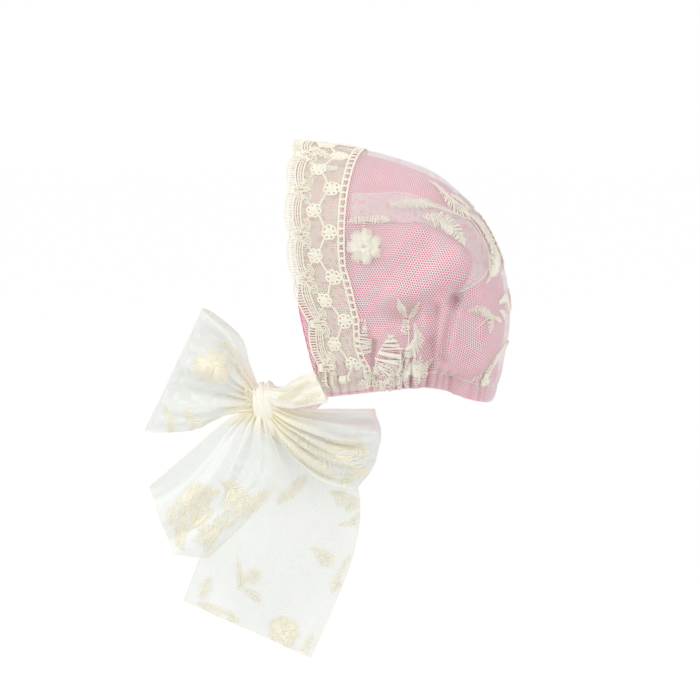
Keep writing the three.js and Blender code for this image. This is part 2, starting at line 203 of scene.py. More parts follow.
def spline(rows, place):
    """A smooth curve through the rows at each place, straight on before the first row."""
    rows = np.asarray(rows, float)
    last = len(rows) - 1
    padded = np.vstack([2 * rows[0] - rows[1], rows, 2 * rows[last] - rows[last - 1]])
    place = np.asarray(place, float)
    start = np.clip(np.floor(place).astype(int), 0, last - 1)
    f = (place - start)[..., None]
    a, b, c, d = (padded[start + k] for k in range(4))
    curve = 0.5 * (2 * b + (c - a) * f + (2 * a - 5 * b + 4 * c - d) * f**2 + (3 * b - a - 3 * c + d) * f**3)
    return np.where(f < 0, b + (c - b) * f, curve)


def half_arches():
    """For each t line, the points from the crown line to the neck at even steps of length."""
    q = np.linspace(0, 1, 121)
    angle = np.minimum(q, 0.5) * math.pi
    below = np.clip(2 * q - 1, 0, 1)
    fall = 1 - np.maximum(np.cos(angle), 0) ** SHOULDER
    half_grid, half_lengths = [], []
    for crown_y, crown_z, neck_x, neck_y, neck_z, half, bow, turn in spline(ARCHES, T_LINES * 8):
        x = np.where(q <= 0.5, half * np.sin(angle) ** SHOULDER, half + (neck_x - half) * below**2)
        drop = np.where(q <= 0.5, turn * fall, turn + (1 - turn) * below)
        y = crown_y + (neck_y - crown_y) * drop + bow * 4 * drop * (1 - drop)
        z = crown_z + (neck_z - crown_z) * drop
        line = np.stack([x, y, z], 1)
        run = run_along(line)
        even = np.linspace(0, run[-1], 201)
        half_grid.append(np.stack([np.interp(even, run, line[:, k]) for k in range(3)], 1))
        half_lengths.append(run[-1])
    return np.array(half_grid), np.array(half_lengths)


half_grid, ARCH_LENGTHS = half_arches()
CAP = np.concatenate([half_grid[:, :0:-1] * (-1, 1, 1), half_grid], axis=1)
slope_t, slope_v = np.gradient(CAP, T_LINES, V_LINES, axis=(0, 1))
CAP_OUT = unit(-np.cross(slope_t, slope_v))
print("front half arch", round(float(np.interp(0, T_LINES, ARCH_LENGTHS)), 1), "mm")

# %% Placing a point on the cap


def table_at(table, t_lines, v_lines, t, v):
    """A table's values between its lines."""
    i = np.clip((t - t_lines[0]) / (t_lines[1] - t_lines[0]), 0, len(t_lines) - 1.001)
    j = np.clip((v - v_lines[0]) / (v_lines[1] - v_lines[0]), 0, len(v_lines) - 1.001)
    i0, j0 = np.floor(i).astype(int), np.floor(j).astype(int)
    fi, fj = i - i0, j - j0
    if table.ndim == 3:
        fi, fj = fi[..., None], fj[..., None]
    near = table[i0, j0] * (1 - fj) + table[i0, j0 + 1] * fj
    far = table[i0 + 1, j0] * (1 - fj) + table[i0 + 1, j0 + 1] * fj
    return near * (1 - fi) + far * fi


def outward(point):
    """The level direction out of the neck."""
    return unit((point - (0, NECK_CENTRE_Y, 0)) * (1, 1, 0))


def below_neck(foot, down):
    """The place a length down the casing from a point of the neck edge."""
    way = -CASING_DRAW_IN * outward(foot) - (0, 0, CASING_HEIGHT)
    return foot + way * (down / math.hypot(CASING_HEIGHT, CASING_DRAW_IN))[..., None]


def on_cap(t, v, height=0.0):
    """The place, in millimetres, that stands a height off the cap. Past v = 1 it is on the casing."""
    t, v, height = np.broadcast_arrays(*(np.asarray(x, float) for x in (t, v, height)))
    inside = np.clip(v, -1, 1)
    point = table_at(CAP, T_LINES, V_LINES, t, inside)
    out = unit(table_at(CAP_OUT, T_LINES, V_LINES, t, inside))
    past = (np.abs(v) - np.abs(inside)) * np.interp(t, T_LINES, ARCH_LENGTHS)
    return below_neck(point, past) + out * height[..., None]


def out_of_cap(t, v):
    """The direction straight out of the cap."""
    return on_cap(t, v, 1) - on_cap(t, v)


walked = np.cumsum(np.linalg.norm(np.diff(CAP, axis=0), axis=-1), axis=0)
walked = np.vstack([np.zeros(len(V_LINES)), walked])
walked -= walked[HEM_ROW]
BACK_LINES = np.linspace(-8, 60, 137)
T_FROM_BACK = np.stack([np.interp(BACK_LINES, walked[:, j], T_LINES) for j in range(len(V_LINES))], 1)
print("hem row of the table at t =", round(float(T_LINES[HEM_ROW]), 4))


def t_behind_hem(v, back):
    """The share t that lies a length back from the satin's front hem."""
    return table_at(T_FROM_BACK, BACK_LINES, V_LINES, back, np.clip(v, -1, 1))


def smooth(share):
    share = np.clip(share, 0, 1)
    return share * share * (3 - 2 * share)


# %% [markdown]
# ## Folds, puckers and gathers
#
# Cloth never lies like a shell. The seam's corner behind the ear is pulled in, soft ridges run
# from it, and the neck is drawn up into fine gathers. Each fold is a line on the cap with a height
# and a width, and satin and net share them, so the layers stay apart.

# %% The folds of the cap
# Each fold: height and half width in millimetres, then its line as (t, v)
FOLDS = [
    (6.0, 9, [(0.49, 0.455), (0.47, 0.535), (0.43, 0.62), (0.38, 0.67), (0.32, 0.705)]),
    (-5.0, 6, [(0.5, 0.63), (0.45, 0.69), (0.39, 0.74), (0.33, 0.77)]),
    (-4.2, 5, [(0.535, 0.56), (0.54, 0.6)]),
    (2.2, 3, [(0.52, 0.6), (0.49, 0.65), (0.45, 0.67)]),
    (-3.4, 3, [(0.48, 0.7), (0.5, 0.765), (0.545, 0.87), (0.65, 0.99)]),
    (3.0, 4, [(0.44, 0.72), (0.465, 0.8), (0.5, 0.9), (0.56, 0.99)]),
    (-3.4, 2.5, [(0.54, 0.6), (0.556, 0.68), (0.575, 0.75), (0.66, 0.885)]),
    (3.2, 4, [(0.57, 0.62), (0.6, 0.72), (0.66, 0.83)]),
    (-2.8, 2.5, [(0.515, 0.84), (0.53, 0.9), (0.58, 0.98)]),
    (1.8, 5, [(0.325, 0.53), (0.35, 0.47), (0.381, 0.43)]),
    (-3.4, 2.2, [(0.245, 0.875), (0.232, 0.92), (0.225, 0.99), (0.222, 1.05)]),
    (1.4, 5, [(0.3, 0.87), (0.32, 0.93), (0.33, 0.99)]),
    (0.8, 7, [(0.7, 0.25), (0.72, 0.5), (0.74, 0.75)]),
    (-0.8, 6, [(0.62, 0.2), (0.63, 0.5), (0.64, 0.7)]),
    (-0.7, 9, [(0.3, 0.06), (0.42, 0.08), (0.55, 0.1)]),
]
GATHER_PITCH = 5.6
GATHER_DEPTH = 2.4
# The shares of the cap over which the gathers fade out, up the cheeks and up the nape
CHEEK_FADE, NAPE_FADE = 0.15, 0.11


def distance_to(points, line):
    """The least distance from each point to a line of points."""
    best = np.full(points.shape[:-1], 1e9)
    for a, b in zip(line[:-1], line[1:]):
        way = b - a
        share = np.clip(((points - a) @ way) / max(way @ way, 1e-9), 0, 1)
        best = np.minimum(best, np.linalg.norm(points - a - share[..., None] * way, axis=-1))
    return best


def neck_ring():
    """The angle and the running length of the neck edge from the front, round one side to the nape."""
    side = on_cap(np.linspace(0, 1, 120), 1.0)
    nape = on_cap(1.0, np.linspace(1, 0, 60))
    ring = np.vstack([side, nape])
    return np.arctan2(np.abs(ring[:, 0]), NECK_CENTRE_Y - ring[:, 1]), run_along(ring[:, :2])


NECK_ANGLE, NECK_RUN = neck_ring()


def gather_wave(points):
    """The gathers' wave, from -1 to 1, which runs round the neck."""
    angle = np.arctan2(np.abs(points[..., 0]), NECK_CENTRE_Y - points[..., 1])
    run = np.interp(angle, NECK_ANGLE, NECK_RUN) + 3.3 * np.sign(points[..., 0])
    drift = 1.3 * np.sin(run / 11.0) + 0.9 * np.sin(run / 4.7 + 1.0)
    swell = 0.7 + 0.3 * np.sin(run / 8.3 + 0.6)
    return swell * (1.8 * np.abs(np.sin(math.pi * run / GATHER_PITCH + drift / 2)) ** 0.5 - 1.1)


def near_neck(t, v, reach=1.0):
    """1 at the neck edge, fading upwards over the last of the panel."""
    sides = smooth((np.abs(v) - (1 - CHEEK_FADE * reach)) / (CHEEK_FADE * reach))
    nape = smooth((t - (1 - NAPE_FADE * reach)) / (NAPE_FADE * reach))
    return np.maximum(sides, nape)


fold_lines = [(h, w, on_cap(*np.array(line).T)) for h, w, line in FOLDS]


def relief(t, v, gather=1.0):
    """How far the folds and gathers lift the cloth, in millimetres."""
    points = on_cap(t, v)
    # Both sides have the same folds, so every point is looked up on the left
    left = points.copy()
    left[..., 0] = np.abs(left[..., 0])
    lift = np.zeros(points.shape[:-1])
    for height, width, line in fold_lines:
        lift += height * np.exp(-((distance_to(left, line) / width) ** 2))
    wave = gather_wave(points) * near_neck(np.asarray(t, float), np.asarray(v, float))
    return lift + gather * GATHER_DEPTH * wave


sample = relief(np.linspace(0, 1, 200)[:, None], np.linspace(-1, 1, 200)[None])
print("relief from %.1f to %.1f mm" % (sample.min(), sample.max()))

# %% [markdown]
# ## Making meshes
#
# A sheet of cloth is a grid of points, so one helper turns grids into pieces. Its UV map is in
# millimetres of cloth, so a weave or a net keeps its true size on every piece.

# %% Grids and pieces


def faces_between(index):
    """The four-sided faces between neighbours in a grid of point numbers."""
    return np.stack([index[:-1, :-1], index[:-1, 1:], index[1:, 1:], index[1:, :-1]], -1).reshape(-1, 4)


def grid_faces(rows, columns, first=0, turned=False):
    """The four-sided faces of a grid of points."""
    quads = faces_between(first + np.arange(rows * columns).reshape(rows, columns))
    return quads[:, ::-1] if turned else quads


def corner_points(mesh):
    """The number of the point at each corner of each face."""
    found = np.zeros(len(mesh.loops), np.int32)
    mesh.loops.foreach_get("vertex_index", found)
    return found


def new_piece(name, points, faces, finish, cloth=None, sharp=50):
    """A piece from points in millimetres, with a UV map in millimetres of cloth."""
    mesh = bpy.data.meshes.new(name)
    faces = faces.tolist() if isinstance(faces, np.ndarray) else faces
    mesh.from_pydata((np.asarray(points, float) * MM).tolist(), [], faces)
    if cloth is not None:
        uv = mesh.uv_layers.new(name="cloth_mm")
        uv.data.foreach_set("uv", np.asarray(cloth, np.float32)[corner_points(mesh)].ravel())
    mesh.shade_smooth()
    mesh.set_sharp_from_angle(angle=math.radians(sharp))
    mesh.materials.append(finish)
    return linked(name, mesh)


def sheet_piece(name, grid, finish, cloth, sharp=50):
    """A piece of cloth with a single surface, from a grid of points."""
    faces = grid_faces(*grid.shape[:2])
    return new_piece(name, grid.reshape(-1, 3), faces, finish, cloth.reshape(-1, 2), sharp)


def mark(mesh, label, values):
    """Stores a number at each point of a mesh, for a material or a node tree to read."""
    mesh.attributes.new(label, "FLOAT", "POINT").data.foreach_set("value", np.asarray(values, np.float32))


def place_piece(piece, slot, *nodes):
    """The piece rides on the bonnet and stands for its CAD nodes, which it hides. The slot is not used."""
    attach(piece, "root")
    if nodes:
        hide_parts(*nodes)
    return piece


def cloth_size(grid):
    """How far each point of a grid is across and along its cloth, in millimetres."""
    across = np.linalg.norm(np.diff(grid, axis=1), axis=-1)
    along = np.linalg.norm(np.diff(grid, axis=0), axis=-1)
    u = np.concatenate([np.zeros((len(grid), 1)), np.cumsum(across, 1)], 1)
    u -= u[:, u.shape[1] // 2][:, None]
    w = np.concatenate([np.zeros((1, grid.shape[1])), np.cumsum(along, 0)], 0)
    return np.stack([u, w], -1)


def two_ways(rows, columns):
    """Two grids of values: one changes from row to row, the other from column to column."""
    return np.meshgrid(np.linspace(*rows), np.linspace(*columns), indexing="ij")


def sheet_area(grid):
    """The area of a grid in square metres."""
    side = np.cross(grid[1:, :-1] - grid[:-1, :-1], grid[:-1, 1:] - grid[:-1, :-1])
    other = np.cross(grid[1:, :-1] - grid[1:, 1:], grid[:-1, 1:] - grid[1:, 1:])
    return float(np.linalg.norm(side, axis=-1).sum() + np.linalg.norm(other, axis=-1).sum()) / 2 * MM * MM


def wall_piece(name, outer, inner, finish, cloth):
    """A closed cloth wall between two grids of points."""
    rows, columns = outer.shape[:2]
    count = rows * columns
    faces = [grid_faces(rows, columns, 0), grid_faces(rows, columns, count, True)]
    ring = np.arange(count).reshape(rows, columns)
    rim = np.concatenate([ring[0, :-1], ring[:-1, -1], ring[-1, :0:-1], ring[:0:-1, 0]])
    following = np.roll(rim, -1)
    faces.append(np.stack([following, rim, rim + count, following + count], -1))
    points = np.concatenate([outer.reshape(-1, 3), inner.reshape(-1, 3)])
    faces = np.concatenate(faces)
    a, b, c = (points[faces[:, k]] for k in range(3))
    if float(np.einsum("ij,ij->i", a, np.cross(b, c)).sum()) < 0:
        faces = faces[:, ::-1]
    piece = new_piece(name, points, faces, finish, np.vstack([cloth, cloth]))
    mark(piece.data, "reverse", np.repeat([0.0, 1.0], count))
    return piece


# %% [markdown]
# ## The cut of each panel
#
# Cloth keeps its mesh nearly even over a dome, because it gives a little everywhere. A plain map by
# rows and columns would shear it, so each panel of the bare cap is unwrapped with least stretch, as
# a pattern cutter lays it flat, and its satin and net take their grain from that pattern.

# %% Panels and their flat patterns
SEAM = np.array([
    (0, 0.43), (0.28, 0.425), (0.34, 0.41), (0.41, 0.385), (0.49, 0.375), (0.525, 0.4),
    (0.545, 0.5), (0.56, 0.63), (0.58, 0.745), (0.61, 0.85), (0.66, 0.996),
])
SEAM_END = 0.66
# Rows lie closest together where the pucker and the seam's corner are
ROW_PARTS = ((0, 0.5, 84), (0.5, 0.68, 54), (0.68, 1, 62))
ROWS = np.unique(np.concatenate([np.linspace(*part) for part in ROW_PARTS]))
CROWN_COLUMNS = 181
CHEEK_COLUMNS = 105
NECK_EDGE = 0.998
PATTERN_LINES = 60


def flat_pattern(t, v):
    """Unwraps a patch of the bare cap with least stretch. Gives each point its place in millimetres."""
    rows, columns = (np.unique(np.linspace(0, n - 1, min(n, PATTERN_LINES)).astype(int)) for n in t.shape)
    grid = on_cap(t, v)[np.ix_(rows, columns)]
    mesh = bpy.data.meshes.new("pattern")
    mesh.from_pydata((grid.reshape(-1, 3) * MM).tolist(), [], grid_faces(len(rows), len(columns)).tolist())
    helper = linked("pattern", mesh)
    bpy.context.view_layer.objects.active = helper
    helper.select_set(True)
    bpy.ops.object.mode_set(mode="EDIT")
    bpy.ops.mesh.select_all(action="SELECT")
    bpy.ops.uv.unwrap(method="MINIMUM_STRETCH", margin=0.0)
    bpy.ops.object.mode_set(mode="OBJECT")
    found = np.zeros(len(mesh.loops) * 2, np.float32)
    mesh.uv_layers.active.data.foreach_get("uv", found)
    places = np.zeros((len(rows) * len(columns), 2))
    places[corner_points(mesh)] = found.reshape(-1, 2)
    flat = places.reshape(len(rows), len(columns), 2)
    bpy.data.objects.remove(helper)
    a, b = flat[1:, :-1] - flat[:-1, :-1], flat[:-1, 1:] - flat[:-1, :-1]
    drawn = np.abs(a[..., 0] * b[..., 1] - a[..., 1] * b[..., 0]).sum()
    flat *= math.sqrt(sheet_area(grid) / MM / MM / drawn)
    every_row, every_column = (np.arange(n) for n in t.shape)
    by_column = np.stack([[np.interp(every_column, columns, line[:, k]) for k in (0, 1)] for line in flat])
    by_row = [[np.interp(every_row, rows, line) for line in by_column[:, k].T] for k in (0, 1)]
    return np.stack(by_row, -1).swapaxes(0, 1)


PANELS = {}
edge = np.where(ROWS > SEAM_END, NECK_EDGE, np.interp(ROWS, SEAM[:, 0], SEAM[:, 1]))[:, None]
PANELS["crown"] = [np.repeat(ROWS[:, None], CROWN_COLUMNS, 1), edge * np.linspace(-1, 1, CROWN_COLUMNS)]
for side, name in ((1, "side_left"), (-1, "side_right")):
    kept = ROWS <= SEAM_END
    down = edge[kept] + (NECK_EDGE - edge[kept]) * np.linspace(0, 1, CHEEK_COLUMNS)
    PANELS[name] = [np.repeat(ROWS[kept][:, None], CHEEK_COLUMNS, 1), side * down]
for name, panel in PANELS.items():
    panel.append(flat_pattern(*panel))
    print(name, "flat pattern %.0f x %.0f mm" % tuple(np.ptp(panel[2].reshape(-1, 2), axis=0)))


# %% [markdown]
# ## Satin
#
# Polyester satin has long floats of bright yarn on its face. The yarns are about 0.1 mm apart,
# too fine to show here, so the material draws faint streaks 0.5 mm wide along the warp. They give
# the soft, stretched gloss of satin, with a little sheen from the brushed back.

# %% The satin's finish


def colour_mix(tree, share, first, second):
    """A mix of two colours. A colour mix keeps several sockets of one name, so they go by type."""
    made = add(tree, "ShaderNodeMix", data_type="RGBA")
    sockets = [s for s in made.inputs if s.type == "RGBA"]
    tree.links.new(share if isinstance(share, bpy.types.NodeSocket) else share.outputs[0], made.inputs[0])
    for socket, colour in zip(sockets, (first, second)):
        if isinstance(colour, str):
            socket.default_value = rgb(colour)
        else:
            tree.links.new(colour, socket)
    return [s for s in made.outputs if s.type == "RGBA"][0]


def satin_material(name, deep_hex, light_hex, reverse_hex):
    """Satin, with a duller and paler reverse where the warp floats don't show."""
    material, tree = new_material(name)
    cloth = add(tree, "ShaderNodeUVMap", uv_map="cloth_mm")
    streaks = add(tree, "ShaderNodeMapping", {"Vector": cloth, "Scale": (2.0, 0.16, 1.0)})
    yarn = add(tree, "ShaderNodeTexNoise", {"Vector": streaks, "Scale": 1.0, "Detail": 2.0})
    soft = add(tree, "ShaderNodeTexNoise", {"Vector": cloth, "Scale": 0.045, "Detail": 2.0})
    both = add(tree, "ShaderNodeMath", {0: yarn, 1: soft}, operation="MULTIPLY")
    tone = add(tree, "ShaderNodeMapRange", {"Value": both, "From Min": 0.12, "From Max": 0.38})
    rough = add(tree, "ShaderNodeMapRange", {"Value": yarn, "To Min": 0.36, "To Max": 0.5})
    bump = add(tree, "ShaderNodeBump", {"Height": yarn, "Strength": 0.25, "Distance": 0.0002})
    reverse = add(tree, "ShaderNodeAttribute", attribute_name="reverse").outputs["Fac"]
    face_colour = colour_mix(tree, tone, deep_hex, light_hex)
    close_material(
        tree, Base_Color=colour_mix(tree, reverse, face_colour, reverse_hex), Roughness=rough, Normal=bump,
        Anisotropic=0.4, Sheen_Weight=0.15, Sheen_Roughness=0.4,
    )
    return material


pink_satin = satin_material("polyester_satin_pink", "#e27691", "#ee90a8", "#f2bcc8")
print("made", pink_satin.name)

# %% [markdown]
# ## The three satin panels
#
# A crown panel runs from the forehead to the nape, and a cheek panel joins it on each side at the
# seam that turns down behind the ear. Each is a grid laid on the cap, folded, and turned in where
# it meets the seam, so that the seam shows as a soft groove.

# %% Satin panels
SATIN_WALL = 0.7
HEM_BACK = 4.2
GROOVE_DEEP, GROOVE_HALF = 1.5, 1.1
seam_steps = np.linspace(0, len(SEAM) - 1, 160)
seam_line = on_cap(*(np.interp(seam_steps, range(len(SEAM)), SEAM[:, k]) for k in (0, 1)))


def behind_hem(v):
    """Where the satin begins: a little way in from the face edge, except low on the cheeks."""
    return HEM_BACK * (1 - smooth((np.abs(v) - 0.6) / 0.14))


def hem_share(t, v):
    """Draws a panel's rows back from the face edge to the satin's own hem."""
    return t + t_behind_hem(v, behind_hem(v)) * (1 - smooth(t / 0.2))


def satin_height(t, v):
    """The satin's outer face against the cap, folds and the turned-in seam included."""
    points = on_cap(t, v)
    points[..., 0] = np.abs(points[..., 0])
    apart = distance_to(points, seam_line)
    base = -1.4 + 0.4 * smooth(np.abs(v) / 0.6)
    run = points[..., 1] * 0.8 + points[..., 2] * 0.6
    pucker = 0.22 * np.cos(run * 1.15 + np.sin(run / 5)) * np.exp(-apart / 4)
    return base + relief(t, v) - GROOVE_DEEP * np.exp(-((apart / GROOVE_HALF) ** 2)) + pucker


def flat_size(cut):
    """The width and length in metres of the flat piece that a pattern is cut from."""
    wide, long = np.ptp(cut.reshape(-1, 2), axis=0) * MM
    return float(wide), float(long)


for name, (t, v, cut) in PANELS.items():
    t = hem_share(t, v)
    height = satin_height(t, v)
    outer, inner = on_cap(t, v, height), on_cap(t, v, height - SATIN_WALL)
    piece = wall_piece(name + "_satin", outer, inner, pink_satin, cut.reshape(-1, 2))
    place_piece(piece, "pink_satin", name.replace("crown", "crown_panel").replace("side", "side_panel"))
    wide, long = flat_size(cut)
    min(sheet_area(outer), wide * long)
    print(piece.name, "%.0f x %.0f mm" % (wide * 1000, long * 1000))

# %% [markdown]
# ## The hem round the face
#
# The satin's front edge is bound with a narrow roll of the same satin. It shows as a deep rose
# line past the lace at the cheek. A round section swept along the edge gives it its fullness.

# %% Face hem
ROLL_SIDES = 12


def roll(name, path, normals, radius, flatness, finish):
    """A rolled edge: an oval swept along a path, with its ends closed."""
    tangent = unit(np.gradient(path, axis=0))
    side = unit(np.cross(tangent, normals))
    angle = np.linspace(0, 2 * math.pi, ROLL_SIDES, endpoint=False)
    level, rise = np.cos(angle)[None, :, None], flatness * np.sin(angle)[None, :, None]
    ring = radius[:, None, None] * (level * side[:, None] + rise * normals[:, None])
    points = (path[:, None] + ring).reshape(-1, 3)
    index = np.arange(len(path) * ROLL_SIDES).reshape(len(path), ROLL_SIDES)
    after = np.roll(index, -1, axis=1)
    faces = np.stack([index[:-1], after[:-1], after[1:], index[1:]], -1).reshape(-1, 4).tolist()
    faces += [index[0][::-1].tolist(), index[-1].tolist()]
    cloth = np.stack([np.tile(angle * radius.mean(), len(path)), np.repeat(run_along(path), ROLL_SIDES)], 1)
    mesh_faces = [f[::-1] for f in faces] if np.dot(np.cross(side[0], normals[0]), tangent[0]) > 0 else faces
    return new_piece(name, points, mesh_faces, finish, cloth)


hem_v = np.linspace(-1.05, 1.05, 420)
hem_out = out_of_cap(0.0, hem_v)
hem_radius = 1.15 + 0.14 * np.sin(hem_v * 160) * np.sin(hem_v * 37)
hem_path = on_cap(hem_share(-0.002, hem_v), hem_v, -1.7 + relief(0.0, hem_v))
face_hem = roll("face_hem", hem_path, hem_out, hem_radius, 0.8, pink_satin)
place_piece(face_hem, "pink_satin")
print("face hem", len(face_hem.data.polygons), "faces")

# %% [markdown]
# ## Net
#
# Bonnet tulle is a six-sided mesh of fine cotton or nylon, about 1.2 mm from hole to hole. On the
# cap it is drawn at 1.5 mm, so that the mesh still shows from this far away. Three waves at 60
# degrees to each other add up to a honeycomb. The material keeps the threads and opens the holes
# with alpha, so the satin shines through a real layer of net and the net casts its own small
# shadows. The holes' share is set by taking the threshold from the waves themselves.

# %% The net's finish
NET_WAYS = (0, math.pi / 3, 2 * math.pi / 3)


def net_threshold(coverage):
    """The value of the three waves below which this share of the cloth is thread."""
    x, y = np.meshgrid(np.linspace(0, 40, 900), np.linspace(0, 40, 900))
    waves = sum(np.cos(x * math.cos(a) + y * math.sin(a)) for a in NET_WAYS)
    return float(np.quantile(waves, coverage))


def net_material(name, thread_hex, shade_hex, mesh_mm, coverage, glow=0.0, bunched_glow=None):
    """Net with threads of two tones. Its glow is painted light, standing for the light that nylon threads let
    through.
    Bunched is its colour where many layers crowd together, with a brighter painted glow there against the
    folds' shade."""
    material, tree = new_material(name)
    cloth = add(tree, "ShaderNodeUVMap", uv_map="cloth_mm")
    wander = add(tree, "ShaderNodeTexNoise", {"Vector": cloth, "Scale": 0.08, "Detail": 1.0})
    swayed = add(tree, "ShaderNodeVectorMath", {0: wander.outputs["Color"], "Scale": 2.5}, operation="SCALE")
    place = add(tree, "ShaderNodeVectorMath", {0: cloth, 1: swayed}, operation="ADD")
    reach = 4 * math.pi / (math.sqrt(3) * mesh_mm)
    total = None
    for angle in NET_WAYS:
        way = (reach * math.cos(angle), reach * math.sin(angle), 0)
        along = add(tree, "ShaderNodeVectorMath", {0: place, 1: way}, operation="DOT_PRODUCT")
        wave = add(tree, "ShaderNodeMath", {0: along.outputs["Value"]}, operation="COSINE")
        total = wave if total is None else add(tree, "ShaderNodeMath", {0: total, 1: wave}, operation="ADD")
    edge = net_threshold(coverage)
    thread = add(
        tree, "ShaderNodeMapRange",
        {"Value": total, "From Min": edge + 0.15, "From Max": edge - 0.15}, interpolation_type="SMOOTHSTEP",
    )
    soft = add(tree, "ShaderNodeTexNoise", {"Vector": cloth, "Scale": 0.12, "Detail": 2.0})
    bump = add(tree, "ShaderNodeBump", {"Height": thread, "Strength": 0.5, "Distance": 0.0002})
    colour, lit = colour_mix(tree, soft, shade_hex, thread_hex), rgb(thread_hex)
    if bunched_glow:
        crowded_glow = add(tree, "ShaderNodeAttribute", attribute_name="bunched_glow").outputs["Fac"]
        colour = colour_mix(tree, crowded_glow, colour, bunched_glow)
        # Painted glow: grey on the open net, cream and brighter where the layers bunch
        lit = colour_mix(tree, crowded_glow, "#c0c2bf", bunched_glow)
        thread = add(tree, "ShaderNodeMath", {0: crowded_glow, 1: thread}, operation="MAXIMUM")
    close_material(
        tree, Base_Color=colour, Roughness=0.7, Alpha=thread, Normal=bump, Sheen_Weight=0.1,
        Specular_IOR_Level=0.3, Emission_Color=lit, Emission_Strength=glow,
    )
    return material


cap_net = net_material("cotton_tulle_ivory", "#fdf9f9", "#eee4e7", 1.5, 0.5)
print("made", cap_net.name)

# %% [markdown]
# ## The net over the cap
#
# The net is cut to the same three panels. It stands about 3 mm off the crown, where it is only held
# at the hems, and lies closer at the cheeks. The turnings of its seam double it in a narrow band
# behind the temple, down to the pucker.

# %% Net cover


def net_height(t, v):
    """How far the net stands off the cap."""
    float_off = 0.4 + 1.3 * (1 - smooth(np.abs(v) / 0.5))
    ripple = 0.25 * np.sin(t * 23 + 2 * np.sin(v * 5)) * np.sin(v * 17 + 1)
    return (float_off + ripple) * (1 - 0.6 * near_neck(t, v, 0.6)) + relief(t, v)


def cap_sheet(name, t, v, cut, height, finish, nodes=(), lie_on=("crown_satin",)):
    """A single-surface net sheet on the cap, mapped in millimetres of the pattern that it was cut to."""
    grid = on_cap(t, v, height)
    piece = sheet_piece(name, grid, finish, cut)
    if piece.data.polygons[0].normal @ Vector(out_of_cap(t[0, 0], v[0, 0])) < 0:
        piece.data.flip_normals()
    place_piece(piece, "ivory_net", *nodes)
    list(lie_on)


for name, (t, v, cut) in PANELS.items():
    height, lie_on = net_height(t, v), (name + "_satin",)
    cap_sheet(name + "_net", t, v, cut, height, cap_net, ("net_overlay",), lie_on)

# %% [markdown]
# ## Threads by Geometry Nodes
#
# Lace cords, stitches and embroidery are all threads: a path with a round section. One small node
# tree turns strokes into tubes, lays them out again and again at a pitch, realises the copies and
# gives them their finish. The result becomes a plain mesh, and the modifier goes.

# %% The thread tree
THREAD_SETTINGS = {"Sides": "Int", "Count": "Int", "Pitch": "Float", "First": "Float", "Finish": "Material"}


def thread_tree():
    tree = bpy.data.node_groups.new("threads", "GeometryNodeTree")
    tree.interface.new_socket("Strokes", in_out="INPUT", socket_type="NodeSocketGeometry")
    for label, kind in THREAD_SETTINGS.items():
        tree.interface.new_socket(label, in_out="INPUT", socket_type="NodeSocket" + kind)
    tree.interface.new_socket("Threads", in_out="OUTPUT", socket_type="NodeSocketGeometry")
    given = add(tree, "NodeGroupInput").outputs
    thickness = add(tree, "GeometryNodeInputNamedAttribute", {"Name": "thread_radius"}, data_type="FLOAT")
    path = add(tree, "GeometryNodeMeshToCurve", {"Mesh": given["Strokes"]})
    section = add(tree, "GeometryNodeCurvePrimitiveCircle", {"Resolution": given["Sides"], "Radius": 1.0})
    tube = add(tree, "GeometryNodeCurveToMesh", {
        "Curve": path, "Profile Curve": section, "Scale": thickness, "Fill Caps": True,
    })
    start = add(tree, "ShaderNodeCombineXYZ", {"X": given["First"]})
    step = add(tree, "ShaderNodeCombineXYZ", {"X": given["Pitch"]})
    row = add(tree, "GeometryNodeMeshLine", {
        "Count": given["Count"], "Start Location": start, "Offset": step,
    })
    copies = add(tree, "GeometryNodeInstanceOnPoints", {"Points": row, "Instance": tube})
    whole = add(tree, "GeometryNodeRealizeInstances", {"Geometry": copies})
    rounded = add(tree, "GeometryNodeSetShadeSmooth", {"Geometry": whole})
    done = add(tree, "GeometryNodeSetMaterial", {"Geometry": rounded, "Material": given["Finish"]})
    add(tree, "NodeGroupOutput", {"Threads": done})
    return tree


THREADS = thread_tree()
THREAD_INPUTS = {item.name: item.identifier for item in THREADS.interface.items_tree}


def thread_piece(name, strokes, finish, sides=5, count=1, pitch=0.0, first=0.0, place=None):
    """Threads along strokes. A stroke is (points in millimetres, radius, closed)."""
    points = np.concatenate([np.asarray(p, float) for p, _, _ in strokes])
    radii = np.concatenate([np.broadcast_to(r, len(p)) for p, r, _ in strokes])
    edges, begin = [], 0
    for p, _, closed in strokes:
        run = np.arange(begin, begin + len(p))
        edges.append(np.stack([run[:-1], run[1:]], 1))
        if closed:
            edges.append([[run[-1], run[0]]])
        begin += len(p)
    paths = bpy.data.meshes.new(name + "_paths")
    paths.from_pydata(points.tolist(), np.concatenate(edges).tolist(), [])
    mark(paths, "thread_radius", radii)
    helper = linked(name + "_paths", paths)
    modifier = helper.modifiers.new("threads", "NODES")
    modifier.node_group = THREADS
    for label, value in zip(THREAD_SETTINGS, (sides, count, float(pitch), float(first), finish)):
        modifier[THREAD_INPUTS[label]] = value
    bpy.context.view_layer.update()
    mesh = bpy.data.meshes.new_from_object(helper.evaluated_get(bpy.context.evaluated_depsgraph_get()))
    bpy.data.objects.remove(helper)
    mesh.name = name
    found = np.zeros(len(mesh.vertices) * 3, np.float32)
    mesh.vertices.foreach_get("co", found)
    found = found.reshape(-1, 3).astype(float)
    found = (place(found) if place else found) * MM
    mesh.vertices.foreach_set("co", found.astype(np.float32).ravel())
    mesh.update()
    if "thread_radius" in mesh.attributes:
        mesh.attributes.remove(mesh.attributes["thread_radius"])
    mesh.calc_loop_triangles()
    print(name, len(mesh.loop_triangles), "triangles")
    return linked(name, mesh)


# %% Thread finishes


